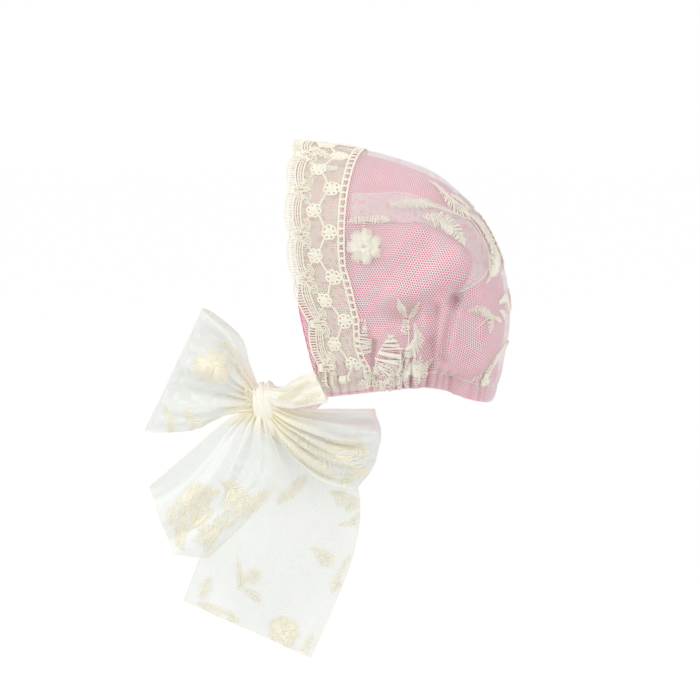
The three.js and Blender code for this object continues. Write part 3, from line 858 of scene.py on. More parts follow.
def thread_material(name, deep_hex, light_hex, roughness, sheen, glow=0.0):
    """Spun thread: its twist shows as fine slanting ridges, and its colour is a little uneven. Its glow is
    painted light.
    """
    material, tree = new_material(name)
    place = add(tree, "ShaderNodeTexCoord").outputs["Object"]
    twist = add(tree, "ShaderNodeTexWave", {
        "Vector": place, "Scale": 420.0, "Distortion": 3.0, "Detail": 1.0,
    }, bands_direction="DIAGONAL")
    patch = add(tree, "ShaderNodeTexNoise", {"Vector": place, "Scale": 180.0, "Detail": 3.0})
    bump = add(tree, "ShaderNodeBump", {"Height": twist.outputs["Fac"], "Strength": 0.35, "Distance": 0.0002})
    close_material(
        tree, Base_Color=colour_mix(tree, patch, deep_hex, light_hex), Roughness=roughness,
        Normal=bump, Sheen_Weight=sheen, Specular_IOR_Level=0.3,
        Emission_Color=rgb(light_hex), Emission_Strength=glow,
    )
    return material


# Guipure lace is matt boiled cotton; the embroidery's floss is brighter and smoother
lace_cotton = thread_material("guipure_cotton_ecru", "#f8f1de", "#fffcee", 0.85, 0.2)
# The floss on the cap has a faint painted glow
embroidery_floss = thread_material("viscose_floss_ivory", "#f6f1e1", "#fdfaee", 0.5, 0.15, 0.02)
# On the ribbon the light comes through the floss from behind as well, painted as a stronger glow
sheer_floss = thread_material("viscose_floss_backlit", "#f3eedb", "#fbf7e6", 0.5, 0.15, 0.08)
print("made", lace_cotton.name, "and", embroidery_floss.name)

# %% [markdown]
# ## The lace
#
# Guipure lace is stitched on a ground that is washed away, so only its cords are left. It is drawn
# flat for one scallop, with x along the band and y in from the outer edge, and repeated every 27.4
# mm. Then it is laid round the face: y becomes the way back from the hem.

# %% One scallop of lace
PITCH = 27.4
TIP = PITCH / 2
LACE_LADDER_Y = 33.3
LADDER_CORDS = (31.6, 35.0)
ROUND_STEPS = np.linspace(0, 2 * math.pi, 12, endpoint=False)


def scallop_edge(x):
    return 2.8 * (1 - np.abs(np.sin(math.pi * x / PITCH)) ** 0.7)


def cord(points, radius, closed=False, height=0.0):
    flat = np.asarray(points, float)
    if flat.shape[1] == 2:
        flat = np.column_stack([flat, np.full(len(flat), height)])
    return (flat, radius, closed)


def bar(start, end, radius, height=0.0, steps=4):
    share = np.linspace(0, 1, steps)[:, None]
    return cord(np.array(start) * (1 - share) + np.array(end) * share, radius, False, height)


def drop_loop(foot, angle, length, width, radius, height=0.0):
    """A teardrop loop of cord that leaves its foot at an angle, in degrees from the way in."""
    across = width / 2 * np.sin(ROUND_STEPS) * (1 - np.cos(ROUND_STEPS)) / 1.3
    along = length * (1 - np.cos(ROUND_STEPS)) / 2
    c, s = math.cos(math.radians(angle)), math.sin(math.radians(angle))
    x = foot[0] + across * c + along * s
    y = foot[1] - across * s + along * c
    return cord(np.column_stack([x, y]), radius, True, height)


def ring(centre, radius, thickness, height=0.0):
    way = np.column_stack([np.cos(ROUND_STEPS), np.sin(ROUND_STEPS)])
    return cord(np.array(centre) + radius * way, thickness, True, height)


def rosette(centre, reach, petals, thickness):
    """A flower of plump loops round a knotted ring."""
    made = [ring(centre, reach * 0.2, thickness * 1.1, 0.5)]
    for k in range(petals):
        angle = 360 * k / petals + 11
        a = math.radians(angle)
        foot = (centre[0] + reach * 0.3 * math.sin(a), centre[1] + reach * 0.3 * math.cos(a))
        made.append(drop_loop(foot, angle, reach * 0.66, reach * 0.62, thickness, 0.15))
    return made


def plait(start, end, radius, swing=0.3):
    """Two strands that wind round each other."""
    start, end = np.array(start, float), np.array(end, float)
    length = np.linalg.norm(end - start)
    share = np.linspace(0, 1, max(6, int(length * 1.6)))
    way = (end - start) / length
    side = np.array([-way[1], way[0]])
    made = []
    for turn in (0, math.pi):
        phase = share * length * 2.6 + turn
        flat = start + share[:, None] * (end - start) + swing * np.sin(phase)[:, None] * side
        made.append(cord(np.column_stack([flat, 0.25 * np.cos(phase)]), radius))
    return made


def lace_heading():
    """The outer edge, its bars, the arcs inside it and the looped clusters at the valleys."""
    x = np.linspace(0.2, PITCH - 0.2, 42)
    made = [cord(np.column_stack([x, scallop_edge(x) + 0.55]), 0.55)]
    arcs = ((5.3, 2.8, 0.03, 0.5), (6.8, 2.9, 0.09, 0.36), (8.2, 2.7, 0.13, 0.36), (9.7, 1.9, 0.17, 0.48))
    for rise, sag, cut, radius in arcs:
        x = np.linspace(PITCH * cut, PITCH * (1 - cut), 24)
        made.append(cord(np.column_stack([x, rise + sag * np.abs(2 * x / PITCH - 1) ** 2.2]), radius))
    for x in np.linspace(1.5, PITCH - 1.5, 15):
        foot = TIP + (x - TIP) * 0.9
        end = (foot, 5.3 + 2.8 * abs(2 * foot / PITCH - 1) ** 2.2)
        made.append(bar((x, scallop_edge(x) + 0.5), end, 0.4))
    for x in np.linspace(4.5, PITCH - 4.5, 8):
        made.append(bar((x, 6.4), (x, 8.6), 0.3, 0.0, 3))
    for x in (-4.4, -2.8, -1.0, 1.0, 2.8, 4.4):
        made.append(bar((x * 0.25, 3.7), (x, 9.6 + abs(x) * 0.15), 0.38))
    made.append(ring((0, 4.6), 0.8, 0.36))
    for side in (-1, 1):
        mirror = np.array([side, 1])
        made.append(cord(mirror * [(1.2, 9.2), (3.2, 10.2), (5.2, 10.6), (7.6, 10.2)], 0.45))
        for angle, length in ((-32, 3.6), (0, 4.3), (32, 3.8)):
            made.append(drop_loop((side * 5.2, 10.2), angle, length, 1.9, 0.34, 0.1))
        arc = [(1.4, 12.0), (2.2, 14.2), (4.2, 15.3), (6.6, 15.2), (8.4, 13.6), (9.0, 11.6)]
        made.append(cord(mirror * arc, 0.42))
        made += plait((side * 1.6, 9.0), (side * 0.4, 14.6), 0.34, 0.25)
    made.append(ring((0, 12.2), 1.0, 0.4))
    return made


def lace_flowers():
    """The two rows of rosettes and the plaited stems between them."""
    inner, outer = (TIP, 17.4), (0, 26.4)
    made = rosette(inner, 4.2, 6, 0.68) + rosette(outer, 4.5, 7, 0.66)
    for side in (-1, 1):
        made += plait((side * (TIP - 3.0), 20.2), (side * 3.4, 23.6), 0.48)
        made.append(cord([(TIP + side * x, y) for x, y in ((2.6, 16.0), (4.4, 14.6), (5.8, 13.4))], 0.45))
    made += [bar((x, 29.6), (x * 1.3, 31.8), 0.4) for x in (-1.4, 0, 1.4)]
    return made


def lace_ladder():
    """The ladder braid along the inner edge: two cords with a rung every 4.6 mm."""
    x = np.linspace(0, PITCH, 34)
    made = []
    for y in LADDER_CORDS:
        for turn in (0, math.pi):
            phase = x * 2 * math.pi * 9 / PITCH + turn
            made.append(cord(np.column_stack([x, y + 0.28 * np.sin(phase), 0.2 * np.cos(phase)]), 0.42))
    for k in range(6):
        for shift in (-0.45, 0.45):
            x = (k + 0.5) * PITCH / 6 + shift
            made.append(bar((x, LADDER_CORDS[0]), (x - shift * 0.5, LADDER_CORDS[1]), 0.42, 0.05))
    return made


# %% Laying the lace round the face
# How far behind the hem the ladder braid lies, as (v, millimetres)
LADDER = np.array([
    (0, 38), (0.06, 38), (0.32, 34), (0.455, 32.3), (0.595, 31), (0.68, 33), (0.79, 33.8), (0.88, 31),
    (1, 32.8), (1.1, 32.8),
])
LACE_REPEATS = 14
LACE_HALF = LACE_REPEATS * PITCH / 2
LACE_END = FRONT_HALF - 6
LACE_END_DRAWN = 0.56


def lace_edge(v):
    """How far behind the satin's hem the lace begins: it hangs past it, except low on the cheeks."""
    return -3.2 + 4.6 * smooth((np.abs(v) - 0.64) / 0.14) - 0.9 * smooth((np.abs(v) - 0.86) / 0.1)


def lace_on_cap(flat):
    """Flat lace, in millimetres, bent round the face and lifted onto the net."""
    out = np.abs(flat[..., 0])
    # The ends are gathered up with the neck, so the last scallop is drawn short
    short = LACE_END + (out - LACE_END) * LACE_END_DRAWN
    v = np.sign(flat[..., 0]) * np.where(out > LACE_END, short, out) / FRONT_HALF
    edge = lace_edge(v)
    ladder = np.interp(np.abs(v), LADDER[:, 0], LADDER[:, 1])
    back = edge + flat[..., 1] * (ladder - edge) / LACE_LADDER_Y
    t = t_behind_hem(v, back)
    crumple = 0.9 * np.sin(flat[..., 0] * 0.42 + back * 0.12) * smooth((np.abs(v) - 0.86) / 0.1)
    return on_cap(t, v, net_height(np.maximum(t, 0), v) + 0.62 + flat[..., 2] + crumple)


# The ground that the cords hold on to is a finer, barer net than the cap's
lace_net = net_material("cotton_tulle_ground", "#fdf8e8", "#f5efdc", 1.2, 0.46)


def lace_piece(name, strokes, *nodes):
    piece = thread_piece(name, strokes, lace_cotton, 6, LACE_REPEATS, PITCH, -LACE_HALF, lace_on_cap)
    return place_piece(piece, "cotton_lace", *nodes)


GROUND_START = 6.5
x, y = two_ways((-LACE_HALF, LACE_HALF, 440), (GROUND_START, LACE_LADDER_Y, 20))
grid = lace_on_cap(np.stack([x, y, np.full(x.shape, -0.35)], -1))
ground = sheet_piece("lace_ground", grid, lace_net, np.stack([x, y], -1))
place_piece(ground, "cotton_lace")
lace_piece("lace_heading", lace_heading(), "face_lace")
lace_piece("lace_rosettes", lace_flowers())
lace_piece("lace_ladder", lace_ladder())

# %% [markdown]
# ## The doubled net and its seam
#
# Behind the temple the net is joined, and its turnings lie back over the satin seam. They show as
# a paler band with a fine line of stitches along its upper edge, down to the pucker.

# %% Net turnings
NET_SEAM = np.array([
    (0.181, 0.335), (0.238, 0.325), (0.3, 0.3), (0.35, 0.293), (0.413, 0.28), (0.456, 0.25), (0.481, 0.24),
    (0.519, 0.23), (0.562, 0.235), (0.585, 0.29), (0.588, 0.395), (0.572, 0.485), (0.544, 0.565),
])
TURNING_EDGE = np.array([
    (0.181, 0.44), (0.275, 0.427), (0.319, 0.417), (0.35, 0.408), (0.375, 0.4), (0.406, 0.392),
    (0.444, 0.388), (0.481, 0.393), (0.519, 0.405), (0.54, 0.43), (0.547, 0.48), (0.544, 0.535),
    (0.537, 0.57),
])
turning_net = net_material("cotton_tulle_turning", "#fefbf9", "#f8f2f0", 1.5, 0.36)
share = np.linspace(0, 1, 141)
upper, lower = spline(NET_SEAM, share * 12), spline(TURNING_EDGE, share * 12)
for side, name in ((1, "left"), (-1, "right")):
    across = np.linspace(0, 1, 21)[:, None]
    band_t = upper[:, 0] * (1 - across) + lower[:, 0] * across
    band_v = upper[:, 1] * (1 - across) + lower[:, 1] * across
    rise = 0.35 + 0.25 * np.sin(across * math.pi)
    cut = flat_pattern(band_t, side * band_v)
    height = net_height(band_t, side * band_v) + rise
    label = "net_turning_" + name
    cap_sheet(label, band_t, side * band_v, cut, height, turning_net, (), ("crown_net",))

# %% [markdown]
# ## The neck casing
#
# The satin and the net are turned down together, and the neck is drawn up. That makes fine pleats
# about 5.6 mm apart, pinched along the stitch line and fuller below it.

# %% Neck casing
CASING_FLARE = 0.25


def neck_edge(share):
    """The neck edge from the left front corner round the nape to the right front corner."""
    t = np.interp(share, [0, 0.35, 0.65, 1], [0, 1, 1, 0])
    v = np.interp(share, [0, 0.35, 0.65, 1], [1, 1, -1, -1])
    return t, v


def casing_points(share, down, height):
    """Places on the casing, down in millimetres, standing off it by a height and the gathers."""
    t, v = neck_edge(share)
    foot = on_cap(t, v)
    puff = 0.5 * np.sin(math.pi * np.clip(down / CASING_HEIGHT, 0, 1)) - 0.15 * np.exp(-((down / 1.1) ** 2))
    flare = 1 + CASING_FLARE * np.clip(down / CASING_HEIGHT, 0, 1.1)
    wave = relief(t, v, 0.0) + GATHER_DEPTH * flare * gather_wave(foot)
    return below_neck(foot, down) + outward(foot) * (height + puff + wave)[..., None]


casing_share, casing_down = two_ways((0, 1, 760), (-0.6, 10.2, 11))
outer = casing_points(casing_share, casing_down, -1.5)
inner = casing_points(casing_share, casing_down, -2.9)
casing = wall_piece("casing_satin", outer, inner, pink_satin, cloth_size(outer).reshape(-1, 2))
place_piece(casing, "pink_satin", "neck_casing")
casing_long = cloth_size(outer)[-1, :, 1].max() * MM
grid = casing_points(casing_share, casing_down * 1.03, -0.15)
casing_net = sheet_piece("casing_net", grid, cap_net, cloth_size(grid))
place_piece(casing_net, "ivory_net")
cloth_size(grid)[-1, :, 1].max() * MM
print("casing %.0f mm of cloth round a neck edge of %.0f mm" % (casing_long * 1000, 2 * NECK_RUN[-1]))

# %% Machine stitches
# A short stitch: its points as shares of its length, and how far each stands off the cloth
STITCH_SHARES, STITCH_RISE = np.array([0, 0.25, 0.75, 1]), np.array([-0.15, 0.25, 0.25, -0.15])


def stitch_row(path, out, length, gap, radius=0.16):
    """A row of short raised stitches along a path of points."""
    run = run_along(path)
    made = []
    for start in np.arange(0, run[-1] - length, length + gap):
        at = start + length * STITCH_SHARES
        points = np.stack([np.interp(at, run, path[:, k]) for k in range(3)], 1)
        away = np.stack([np.interp(at, run, out[:, k]) for k in range(3)], 1)
        made.append((points + away * STITCH_RISE[:, None], radius, False))
    return made


share = np.linspace(0.0, 1.0, 900)
level = outward(on_cap(*neck_edge(share)))
rows = stitch_row(casing_points(share, np.full(len(share), 0.2), 0.05), level, 2.1, 0.6)
for side in (1, -1):
    t, v = upper[:, 0], side * upper[:, 1]
    path = on_cap(t, v, net_height(t, v) + 0.45)
    rows += stitch_row(path, out_of_cap(t, v), 1.9, 0.5, 0.22)
place_piece(thread_piece("machine_stitches", rows, embroidery_floss, 5), "ivory_net")

# %% [markdown]
# ## Embroidery
#
# The net is embroidered in satin stitch: close parallel threads, raised off the net, that fill
# leaves, petals and buds. Every stitch is its own thread here. A motif is drawn as a spine with
# half widths on any surface that can place a point, so the cap and the ribbons share the code.

# %% Satin stitch
RNG = np.random.default_rng(7)
PETAL_SPREAD, PETAL_PITCH, PETAL_RISE = 0.88, 0.95, 0.8


def measures(place, a, b):
    """The two directions of a surface at some places, in millimetres for each share."""
    step = 1e-3
    along = (place(a + step, b, 0) - place(a - step, b, 0)) / (2 * step)
    across = (place(a, b + step, 0) - place(a, b - step, 0)) / (2 * step)
    la = np.linalg.norm(along, axis=-1)
    lean = (across * along).sum(-1) / la
    lb = np.linalg.norm(across - along * (lean / la)[..., None], axis=-1)
    return la, lean, lb


def beside(place, a, b, x, y):
    """The place x and y millimetres beside another on the surface."""
    la, lean, lb = measures(place, a, b)
    step_b = y / lb
    return a + (x - step_b * lean) / la, b + step_b


def stitches(place, a0, b0, a1, b1, base, lift, radius):
    """Stitches from one set of places to another, arched off the cloth."""
    made = []
    shares = np.array([0, 0.22, 0.78, 1])
    rise = np.array([0, 1, 1, 0]) * lift + base
    a = a0[:, None] * (1 - shares) + a1[:, None] * shares
    b = b0[:, None] * (1 - shares) + b1[:, None] * shares
    for points in place(a, b, np.broadcast_to(rise, a.shape)):
        # A place past the edge of its cloth has no number, and its stitch is cut away
        if np.isfinite(points).all():
            made.append((points, radius, False))
    return made


def spine_places(place, spine, pitch):
    """Even steps along a spine, with the direction of each in millimetres."""
    spine = np.asarray(spine, float)
    fine = np.linspace(spine[0], spine[-1], 90)
    if len(spine) > 2:
        fine = spline(spine, np.linspace(0, len(spine) - 1, 90))
    run = run_along(place(fine[:, 0], fine[:, 1], 0))
    at = np.linspace(0, run[-1], max(3, int(run[-1] / pitch)))
    a, b = np.interp(at, run, fine[:, 0]), np.interp(at, run, fine[:, 1])
    la, lean, lb = measures(place, a, b)
    da, db = np.gradient(a), np.gradient(b)
    return a, b, unit(np.stack([da * la + db * lean, db * lb], 1)), at / run[-1]


def leaf(
    place, spine, widths, pitch=1.15, split=True, slant=0.45, base=0.3, lift=0.6, radius=0.42, ragged=0.2
):
    """A leaf of satin stitch, in two halves about its vein or in one, with half widths along it."""
    a, b, way, share = spine_places(place, spine, pitch)
    half = np.interp(share, np.linspace(0, 1, len(widths)), widths)
    side = np.stack([-way[:, 1], way[:, 0]], 1)
    made = []
    jitter = RNG.uniform(1 - ragged, 1 + ragged, (2, len(a)))
    lean = slant + RNG.uniform(-ragged, ragged, (2, len(a)))
    ends = [
        beside(place, a, b, *((k * side + lean[n][:, None] * way) * (half * jitter[n])[:, None]).T)
        for n, k in enumerate((1, -1))
    ]
    if split:
        for end in ends:
            made += stitches(place, a, b, *end, base, lift, radius)
    else:
        made += stitches(place, *ends[0], *ends[1], base, lift, radius)
    return made


def stem(place, spine, radius=0.34, base=0.4):
    """A stem: one cord of stitches laid along a line."""
    a, b, _, _ = spine_places(place, spine, 0.8)
    return [(place(a, b, base), radius, False)]


def flower(place, a, b, reach, petals=8, turn=0.0, radius=0.42, base=0.3):
    """A flower of round petals, each a fan of stitches, in two tiers round a knotted middle."""
    made = []
    for low, high, rise, shift in ((0.26, 1.0, 0.0, 0.0), (0.12, 0.54, PETAL_RISE, 0.5)):
        for k in range(petals):
            spread = PETAL_SPREAD * math.pi / petals
            count = max(5, int(2 * spread * reach * high / PETAL_PITCH))
            share = np.linspace(-1, 1, count)
            angle = turn + 2 * math.pi * (k + shift) / petals + share * spread
            uneven = RNG.uniform(0.97, 1.03, count)
            size = reach * high * uneven * (0.76 + 0.24 * np.sqrt(1 - share**2 * 0.98))
            A, B = np.full(count, a), np.full(count, b)
            inner = beside(place, A, B, reach * low * np.cos(angle), reach * low * np.sin(angle))
            outer = beside(place, A, B, size * np.cos(angle), size * np.sin(angle))
            made += stitches(place, *inner, *outer, base + rise + PETAL_RISE * (k % 2), 0.6, radius)
    for k in range(7):
        off = 0.0 if k == 6 else reach * 0.12
        x, y = off * math.cos(k * math.pi / 3), off * math.sin(k * math.pi / 3)
        ends = [beside(place, np.array([a]), np.array([b]), x + d, y) for d in (-0.5, 0.5)]
        made += stitches(place, *ends[0], *ends[1], base + 0.8, 0.5, radius * 1.3)
    return made


# %% Motifs of the cap
# Each motif: how it is sewn, its places as shares (t, v) with its half widths, and its own settings
CAP_MOTIFS = [
    (flower, 0.221, 0.524, 11.0, 7, 0.4, 0.38, {}),
    (leaf, [(0.172, 0.438), (0.2, 0.43), (0.225, 0.424), (0.25, 0.424), (0.285, 0.42)],
     [0.7, 2.3, 1.3, 2.4, 2.2, 0.6], {"split": False, "base": 0.8}),
    (leaf, [(0.219, 0.43), (0.217, 0.475)], [1.0, 1.2], {"split": False, "base": 0.7}),
    (leaf, [(0.283, 0.362), (0.306, 0.35), (0.331, 0.336), (0.363, 0.32), (0.395, 0.302)],
     [0.5, 3.0, 3.5, 3.3, 2.3, 0.6], {"base": 0.7}),
    (leaf, [(0.288, 0.37), (0.28, 0.345)], [0.6, 0.8, 0.3], {"split": False}),
    (stem, [(0.39, 0.304), (0.42, 0.285), (0.455, 0.255), (0.485, 0.21)], {}),
    (leaf, [(0.372, 0.372), (0.397, 0.357), (0.43, 0.345), (0.458, 0.348), (0.478, 0.368), (0.49, 0.392)],
     [1.4, 5.2, 5.8, 5.2, 3.6, 0.5], {"base": 0.7}),
    (leaf, [(0.362, 0.178), (0.388, 0.186), (0.406, 0.208), (0.43, 0.222), (0.452, 0.215), (0.47, 0.185)],
     [0.4, 1.4, 3.2, 6.0, 6.4, 3.0], {"base": 0.6}),
    (leaf, [(0.372, 0.182), (0.378, 0.165)], [0.7, 0.9, 0.2], {"split": False}),
    (leaf, [(0.385, 0.188), (0.394, 0.17)], [0.7, 0.9, 0.2], {"split": False}),
    (leaf, [(0.398, 0.2), (0.41, 0.182)], [0.7, 0.9, 0.2], {"split": False}),
    (leaf, [(0.41, 0.21), (0.426, 0.19)], [0.7, 0.9, 0.2], {"split": False}),
    (leaf, [(0.42, 0.17), (0.442, 0.14), (0.47, 0.11)], [1.0, 3.2, 3.4, 1.0], {}),
    (leaf, [(0.478, 0.185), (0.5, 0.15), (0.53, 0.125), (0.56, 0.12),
     (0.585, 0.155), (0.598, 0.24), (0.603, 0.34)],
     [1.2, 6.4, 8.4, 8.2, 6.6, 4.4, 0.8], {"base": 0.6}),
    (stem, [(0.466, 0.2), (0.494, 0.2), (0.519, 0.2), (0.544, 0.215), (0.569, 0.245), (0.598, 0.335)], {}),
    (leaf, [(0.6, 0.33), (0.606, 0.37), (0.604, 0.395)], [0.5, 1.6, 0.4], {"split": False}),
    (leaf, [(0.604, 0.59), (0.626, 0.55), (0.658, 0.51), (0.692, 0.468)], [0.5, 2.7, 3.0, 1.0], {}),
    (leaf, [(0.692, 0.465), (0.708, 0.495), (0.728, 0.53)], [0.8, 3.0, 2.6, 0.4], {}),
    (leaf, [(0.7, 0.45), (0.718, 0.4), (0.73, 0.37)], [0.5, 1.4, 0.6], {"split": False}),
    (stem, [(0.69, 0.48), (0.682, 0.53), (0.68, 0.6)], 0.3, {}),
    (leaf, [(0.68, 0.34), (0.682, 0.25), (0.695, 0.14), (0.722, 0.06)], [0.8, 3.0, 4.0, 1.2], {}),
    (leaf, [(0.7, 0.36), (0.715, 0.31), (0.735, 0.27)], [0.6, 2.2, 0.8], {}),
    (leaf, [(0.825, 0.14), (0.848, 0.3), (0.88, 0.46), (0.93, 0.57), (0.955, 0.6)],
     [0.5, 2.0, 2.8, 3.0, 1.6], {}),
    (flower, 0.965, 0.6, 4.6, 6, {}),
    (leaf, [(0.93, 0.66), (0.955, 0.72), (0.985, 0.76)], [0.8, 2.4, 1.0], {}),
    (leaf, [(0.344, 0.7), (0.352, 0.732), (0.372, 0.768)], [0.5, 2.5, 1.2], {}),
    (leaf, [(0.416, 0.698), (0.41, 0.73), (0.398, 0.77)], [0.4, 1.9, 1.0], {}),
    (leaf, [(0.376, 0.782), (0.384, 0.805), (0.386, 0.832)], [1.2, 2.6, 1.2], {}),
    (stem, [(0.392, 0.765), (0.395, 0.8), (0.407, 0.835), (0.416, 0.885), (0.41, 0.94), (0.4, 0.99)],
     0.4, {}),
    (leaf, [(0.42, 0.785), (0.448, 0.825), (0.452, 0.87), (0.43, 0.92)],
     [1.2, 4.4, 4.6, 1.4], {"pitch": 1.35, "slant": 0.9}),
    (leaf, [(0.219, 0.795), (0.213, 0.835), (0.207, 0.875), (0.208, 0.915)],
     [0.5, 1.4, 4.6, 4.6, 3.0], {"pitch": 1.4, "split": False, "slant": 0, "base": 0.8, "ragged": 0.28}),
    (leaf, [(0.219, 0.79), (0.2, 0.788)], [0.6, 0.9, 0.4], {"split": False}),
    (leaf, [(0.325, 0.85), (0.331, 0.88), (0.33, 0.92), (0.322, 0.97), (0.314, 1.02), (0.31, 1.055)],
     [1.6, 6.6, 8.8, 9.2, 8.4, 6.0],
     {"pitch": 1.45, "split": False, "slant": 0, "radius": 0.48, "ragged": 0.26}),
    (leaf, [(0.325, 0.855), (0.31, 0.84)], [0.5, 1.0, 0.3], {"split": False}),
    (leaf, [(0.04, 0.1), (0.07, 0.13), (0.1, 0.16), (0.14, 0.18)],
     [0.6, 2.8, 3.0, 1.0], {"base": -0.2, "lift": 0.4}),
    (leaf, [(0.06, 0.21), (0.09, 0.225), (0.13, 0.225)], [0.6, 2.8, 3.0, 1.0], {"base": -0.2, "lift": 0.4}),
    (stem, [(0.325, 0.85), (0.288, 0.89), (0.255, 0.95), (0.235, 1.03)], 0.36, {}),
    (stem, [(0.325, 0.85), (0.372, 0.89), (0.395, 0.95), (0.385, 1.03)], 0.36, {}),
]


def cap_motifs(side):
    """The sprays seen on the wearer's left, and the same mirrored on the right."""

    def place(t, v, height):
        held = np.clip(t, 0, 1)
        return on_cap(held, side * v, net_height(held, side * v) + height)

    return [stroke for sew, *shape, settings in CAP_MOTIFS for stroke in sew(place, *shape, **settings)]


def neck_motifs(side):
    """The dense scrolls that the gathers bunch together along the neck."""

    def place(t, v, height):
        held = np.clip(t, 0, 1)
        down = np.maximum(v - 1, 0) * np.interp(held, T_LINES, ARCH_LENGTHS)
        upper_part = on_cap(held, side * np.minimum(v, 1), net_height(held, side * np.minimum(v, 1)) + height)
        foot = on_cap(held, side * 1.0)
        flare = GATHER_DEPTH * (1 + CASING_FLARE * np.minimum(down / CASING_HEIGHT, 1))
        gathers = relief(held, side * 1.0, 0.0) + flare * gather_wave(foot)
        lower_part = below_neck(foot, down) + outward(foot) * (gathers + height + 0.5)[..., None]
        return np.where((v > 1)[..., None], lower_part, upper_part)

    made = []
    for t in np.arange(0.19, 0.63, 0.0105):
        turn, size = RNG.uniform(-1.3, 1.3), RNG.uniform(3.0, 5.2)
        v = RNG.uniform(0.955, 1.04)
        la, _, lb = measures(place, np.array([t]), np.array([v]))
        da, db = size * math.sin(turn) / la[0], size * math.cos(turn) / lb[0]
        spine = [(t - da, v - db), (t, v), (t + da, v + db)]
        made += leaf(place, spine, [0.5, 2.5, 2.3, 0.5], pitch=1.35, base=0.4, radius=0.33, ragged=0.3)
    for t, v in ((0.43, 0.925), (0.465, 0.905), (0.5, 0.9), (0.53, 0.93)):
        spine = [(t, v), (t + 0.012, v + 0.05), (t, v + 0.1)]
        made += leaf(place, spine, [0.5, 3.0, 2.6, 0.6], pitch=1.3, slant=0.9, radius=0.34)
    return made


for side, name in ((1, "left"), (-1, "right")):
    place_piece(thread_piece(f"embroidery_{name}", cap_motifs(side), embroidery_floss, 4), "ivory_net")
    place_piece(thread_piece(f"embroidery_neck_{name}", neck_motifs(side), embroidery_floss, 4), "ivory_net")

# %% [markdown]
# ## The ribbon
#
# The ties are one ribbon of finer embroidered net on each side, about 85 mm wide, whiter and
# more open where it is a single layer. Each stretch is a table of sections: two edge points and a
# belly. Where a section is narrower than the ribbon, the cloth folds up until 85 mm of it is in
# there: many small folds at the knot, fewer and broader ones where it opens out.

# %% Ribbon sections
# Each row: edge a, edge b, then the belly's push in y and z, in millimetres
NEAR_STRAP = [
    (45.3, -38.5, -126.5, 44.6, -29.5, -146.0, 0, 0), (41, -49.5, -132, 39.5, -44, -149.5, 0, 0),
    (33, -59, -138, 31, -56, -152, 0, 0), (22, -71.5, -139.6, 22, -69.5, -149.5, 0, 0),
]
FAR_STRAP = [
    (-41.6, -37.1, -130.5, -39.4, -34.4, -143, 0, 0), (-37, -48, -143, -36, -44, -155.5, 0, 0),
    (-22, -52.5, -151, -22, -51.5, -161, 0, 0), (-6, -59, -152.5, -6, -59, -162, 0, 0),
    (12.2, -72.1, -149.5, 12.2, -72.1, -157, 0, 0),
]
FRONT_LOOP = [
    (21.5, -78.5, -141.5, 21.5, -78.5, -154.5, 0, 0), (27, -85.5, -125, 27, -98, -158, -2, 0),
    (30, -92, -107, 30, -116, -166, -3, 0), (28, -107, -94.5, 28, -139, -168, -2, 0),
    (22, -111.5, -92, 22, -148, -168, 0, 0), (14, -111.5, -92, 14, -148, -168, 0, 0),
    (8, -106, -96, 8, -138, -167, -2, 0), (6, -92, -109, 6, -114, -164, -3, 0),
    (9, -86, -126, 9, -98, -157, -2, 0), (14.5, -78.5, -142, 14.5, -78.5, -154, 0, 0),
]
BACK_LOOP = [
    (21.5, -70.2, -149.5, 21.5, -70.2, -157.5, 0, 0), (26, -52, -153.5, 26, -61, -175, 1, 0),
    (30, -28, -154, 30, -38, -195, 3, 0), (28, -10, -153, 28, -20, -201, 5, 0),
    (22, -5, -153.5, 22, -16, -203, 8, 0), (13, -5, -153.5, 13, -16, -203, 8, 0),
    (8, -10, -154, 8, -20, -201, 5, 0), (6, -28, -155, 6, -38, -194, 3, 0),
    (9, -52, -154.5, 9, -60, -174, 1, 0), (14.5, -70.2, -150, 14.5, -70.2, -157, 0, 0),
]
FRONT_TAIL = [
    (20.5, -82, -156.8, 20.5, -74, -156.8, 0, 0), (33, -96, -161, 33, -66.5, -169, 0, 2),
    (35, -119, -180.5, 35, -61, -191, 0, 0), (34, -133, -192.5, 34, -72, -211, -3, -4),
    (33, -143.5, -201.5, 33, -107, -246.5, -10, -11),
]
BACK_TAIL = [
    (15.5, -81, -156.8, 15.5, -73, -156.8, 0, 0), (9.5, -81.5, -163, 9.5, -70, -164, 0, 0),
    (4, -85, -172, 4, -54, -176, 0, -1), (1, -93, -187, 1, -22, -197, 0, 0),
    (0, -102.5, -211.5, 0, -15.5, -219, 0, 0), (1, -110.8, -232, 1, -20.7, -250, 0, 0),
    (2, -118.5, -254, 2, -33.5, -283.5, 0, 0), (3, -128, -278.5, 3, -46.5, -313, 0, 0),
]
RIBBON_WIDE = 85.0
RIBBON_STEPS = 16
RIBBON_COLUMNS = 121
DEEPEST_FOLD = 14.0


def evened(values):
    """Each value as the mean of itself and its twelve neighbours."""
    return np.convolve(np.pad(values, 6, mode="edge"), np.ones(13) / 13, "valid")


def laid_layers(a, b, wide, normal):
    """A ribbon folded lengthwise, like a letter, into as many layers as its width needs."""
    w = np.linspace(0, 1, RIBBON_COLUMNS)[None]
    way = w * evened(RIBBON_WIDE / wide)[:, None]
    layer = np.floor(way)
    share = np.where(layer % 2 == 0, way - layer, 1 - way + layer)
    share = 0.5 + (share - 0.5) * (1 - 0.03 * layer) + 0.02 * np.sin(layer * 2.1)
    depth = 2.2 - 1.25 * way + 0.5 * np.sin(share * 9 + np.linspace(0, 4, len(wide))[:, None])
    depth = depth + 0.3 * np.sin(share * 24 + np.linspace(0, 9, len(wide))[:, None] + layer)
    return a * (1 - share[..., None]) + b * share[..., None] + depth[..., None] * normal[:, None]


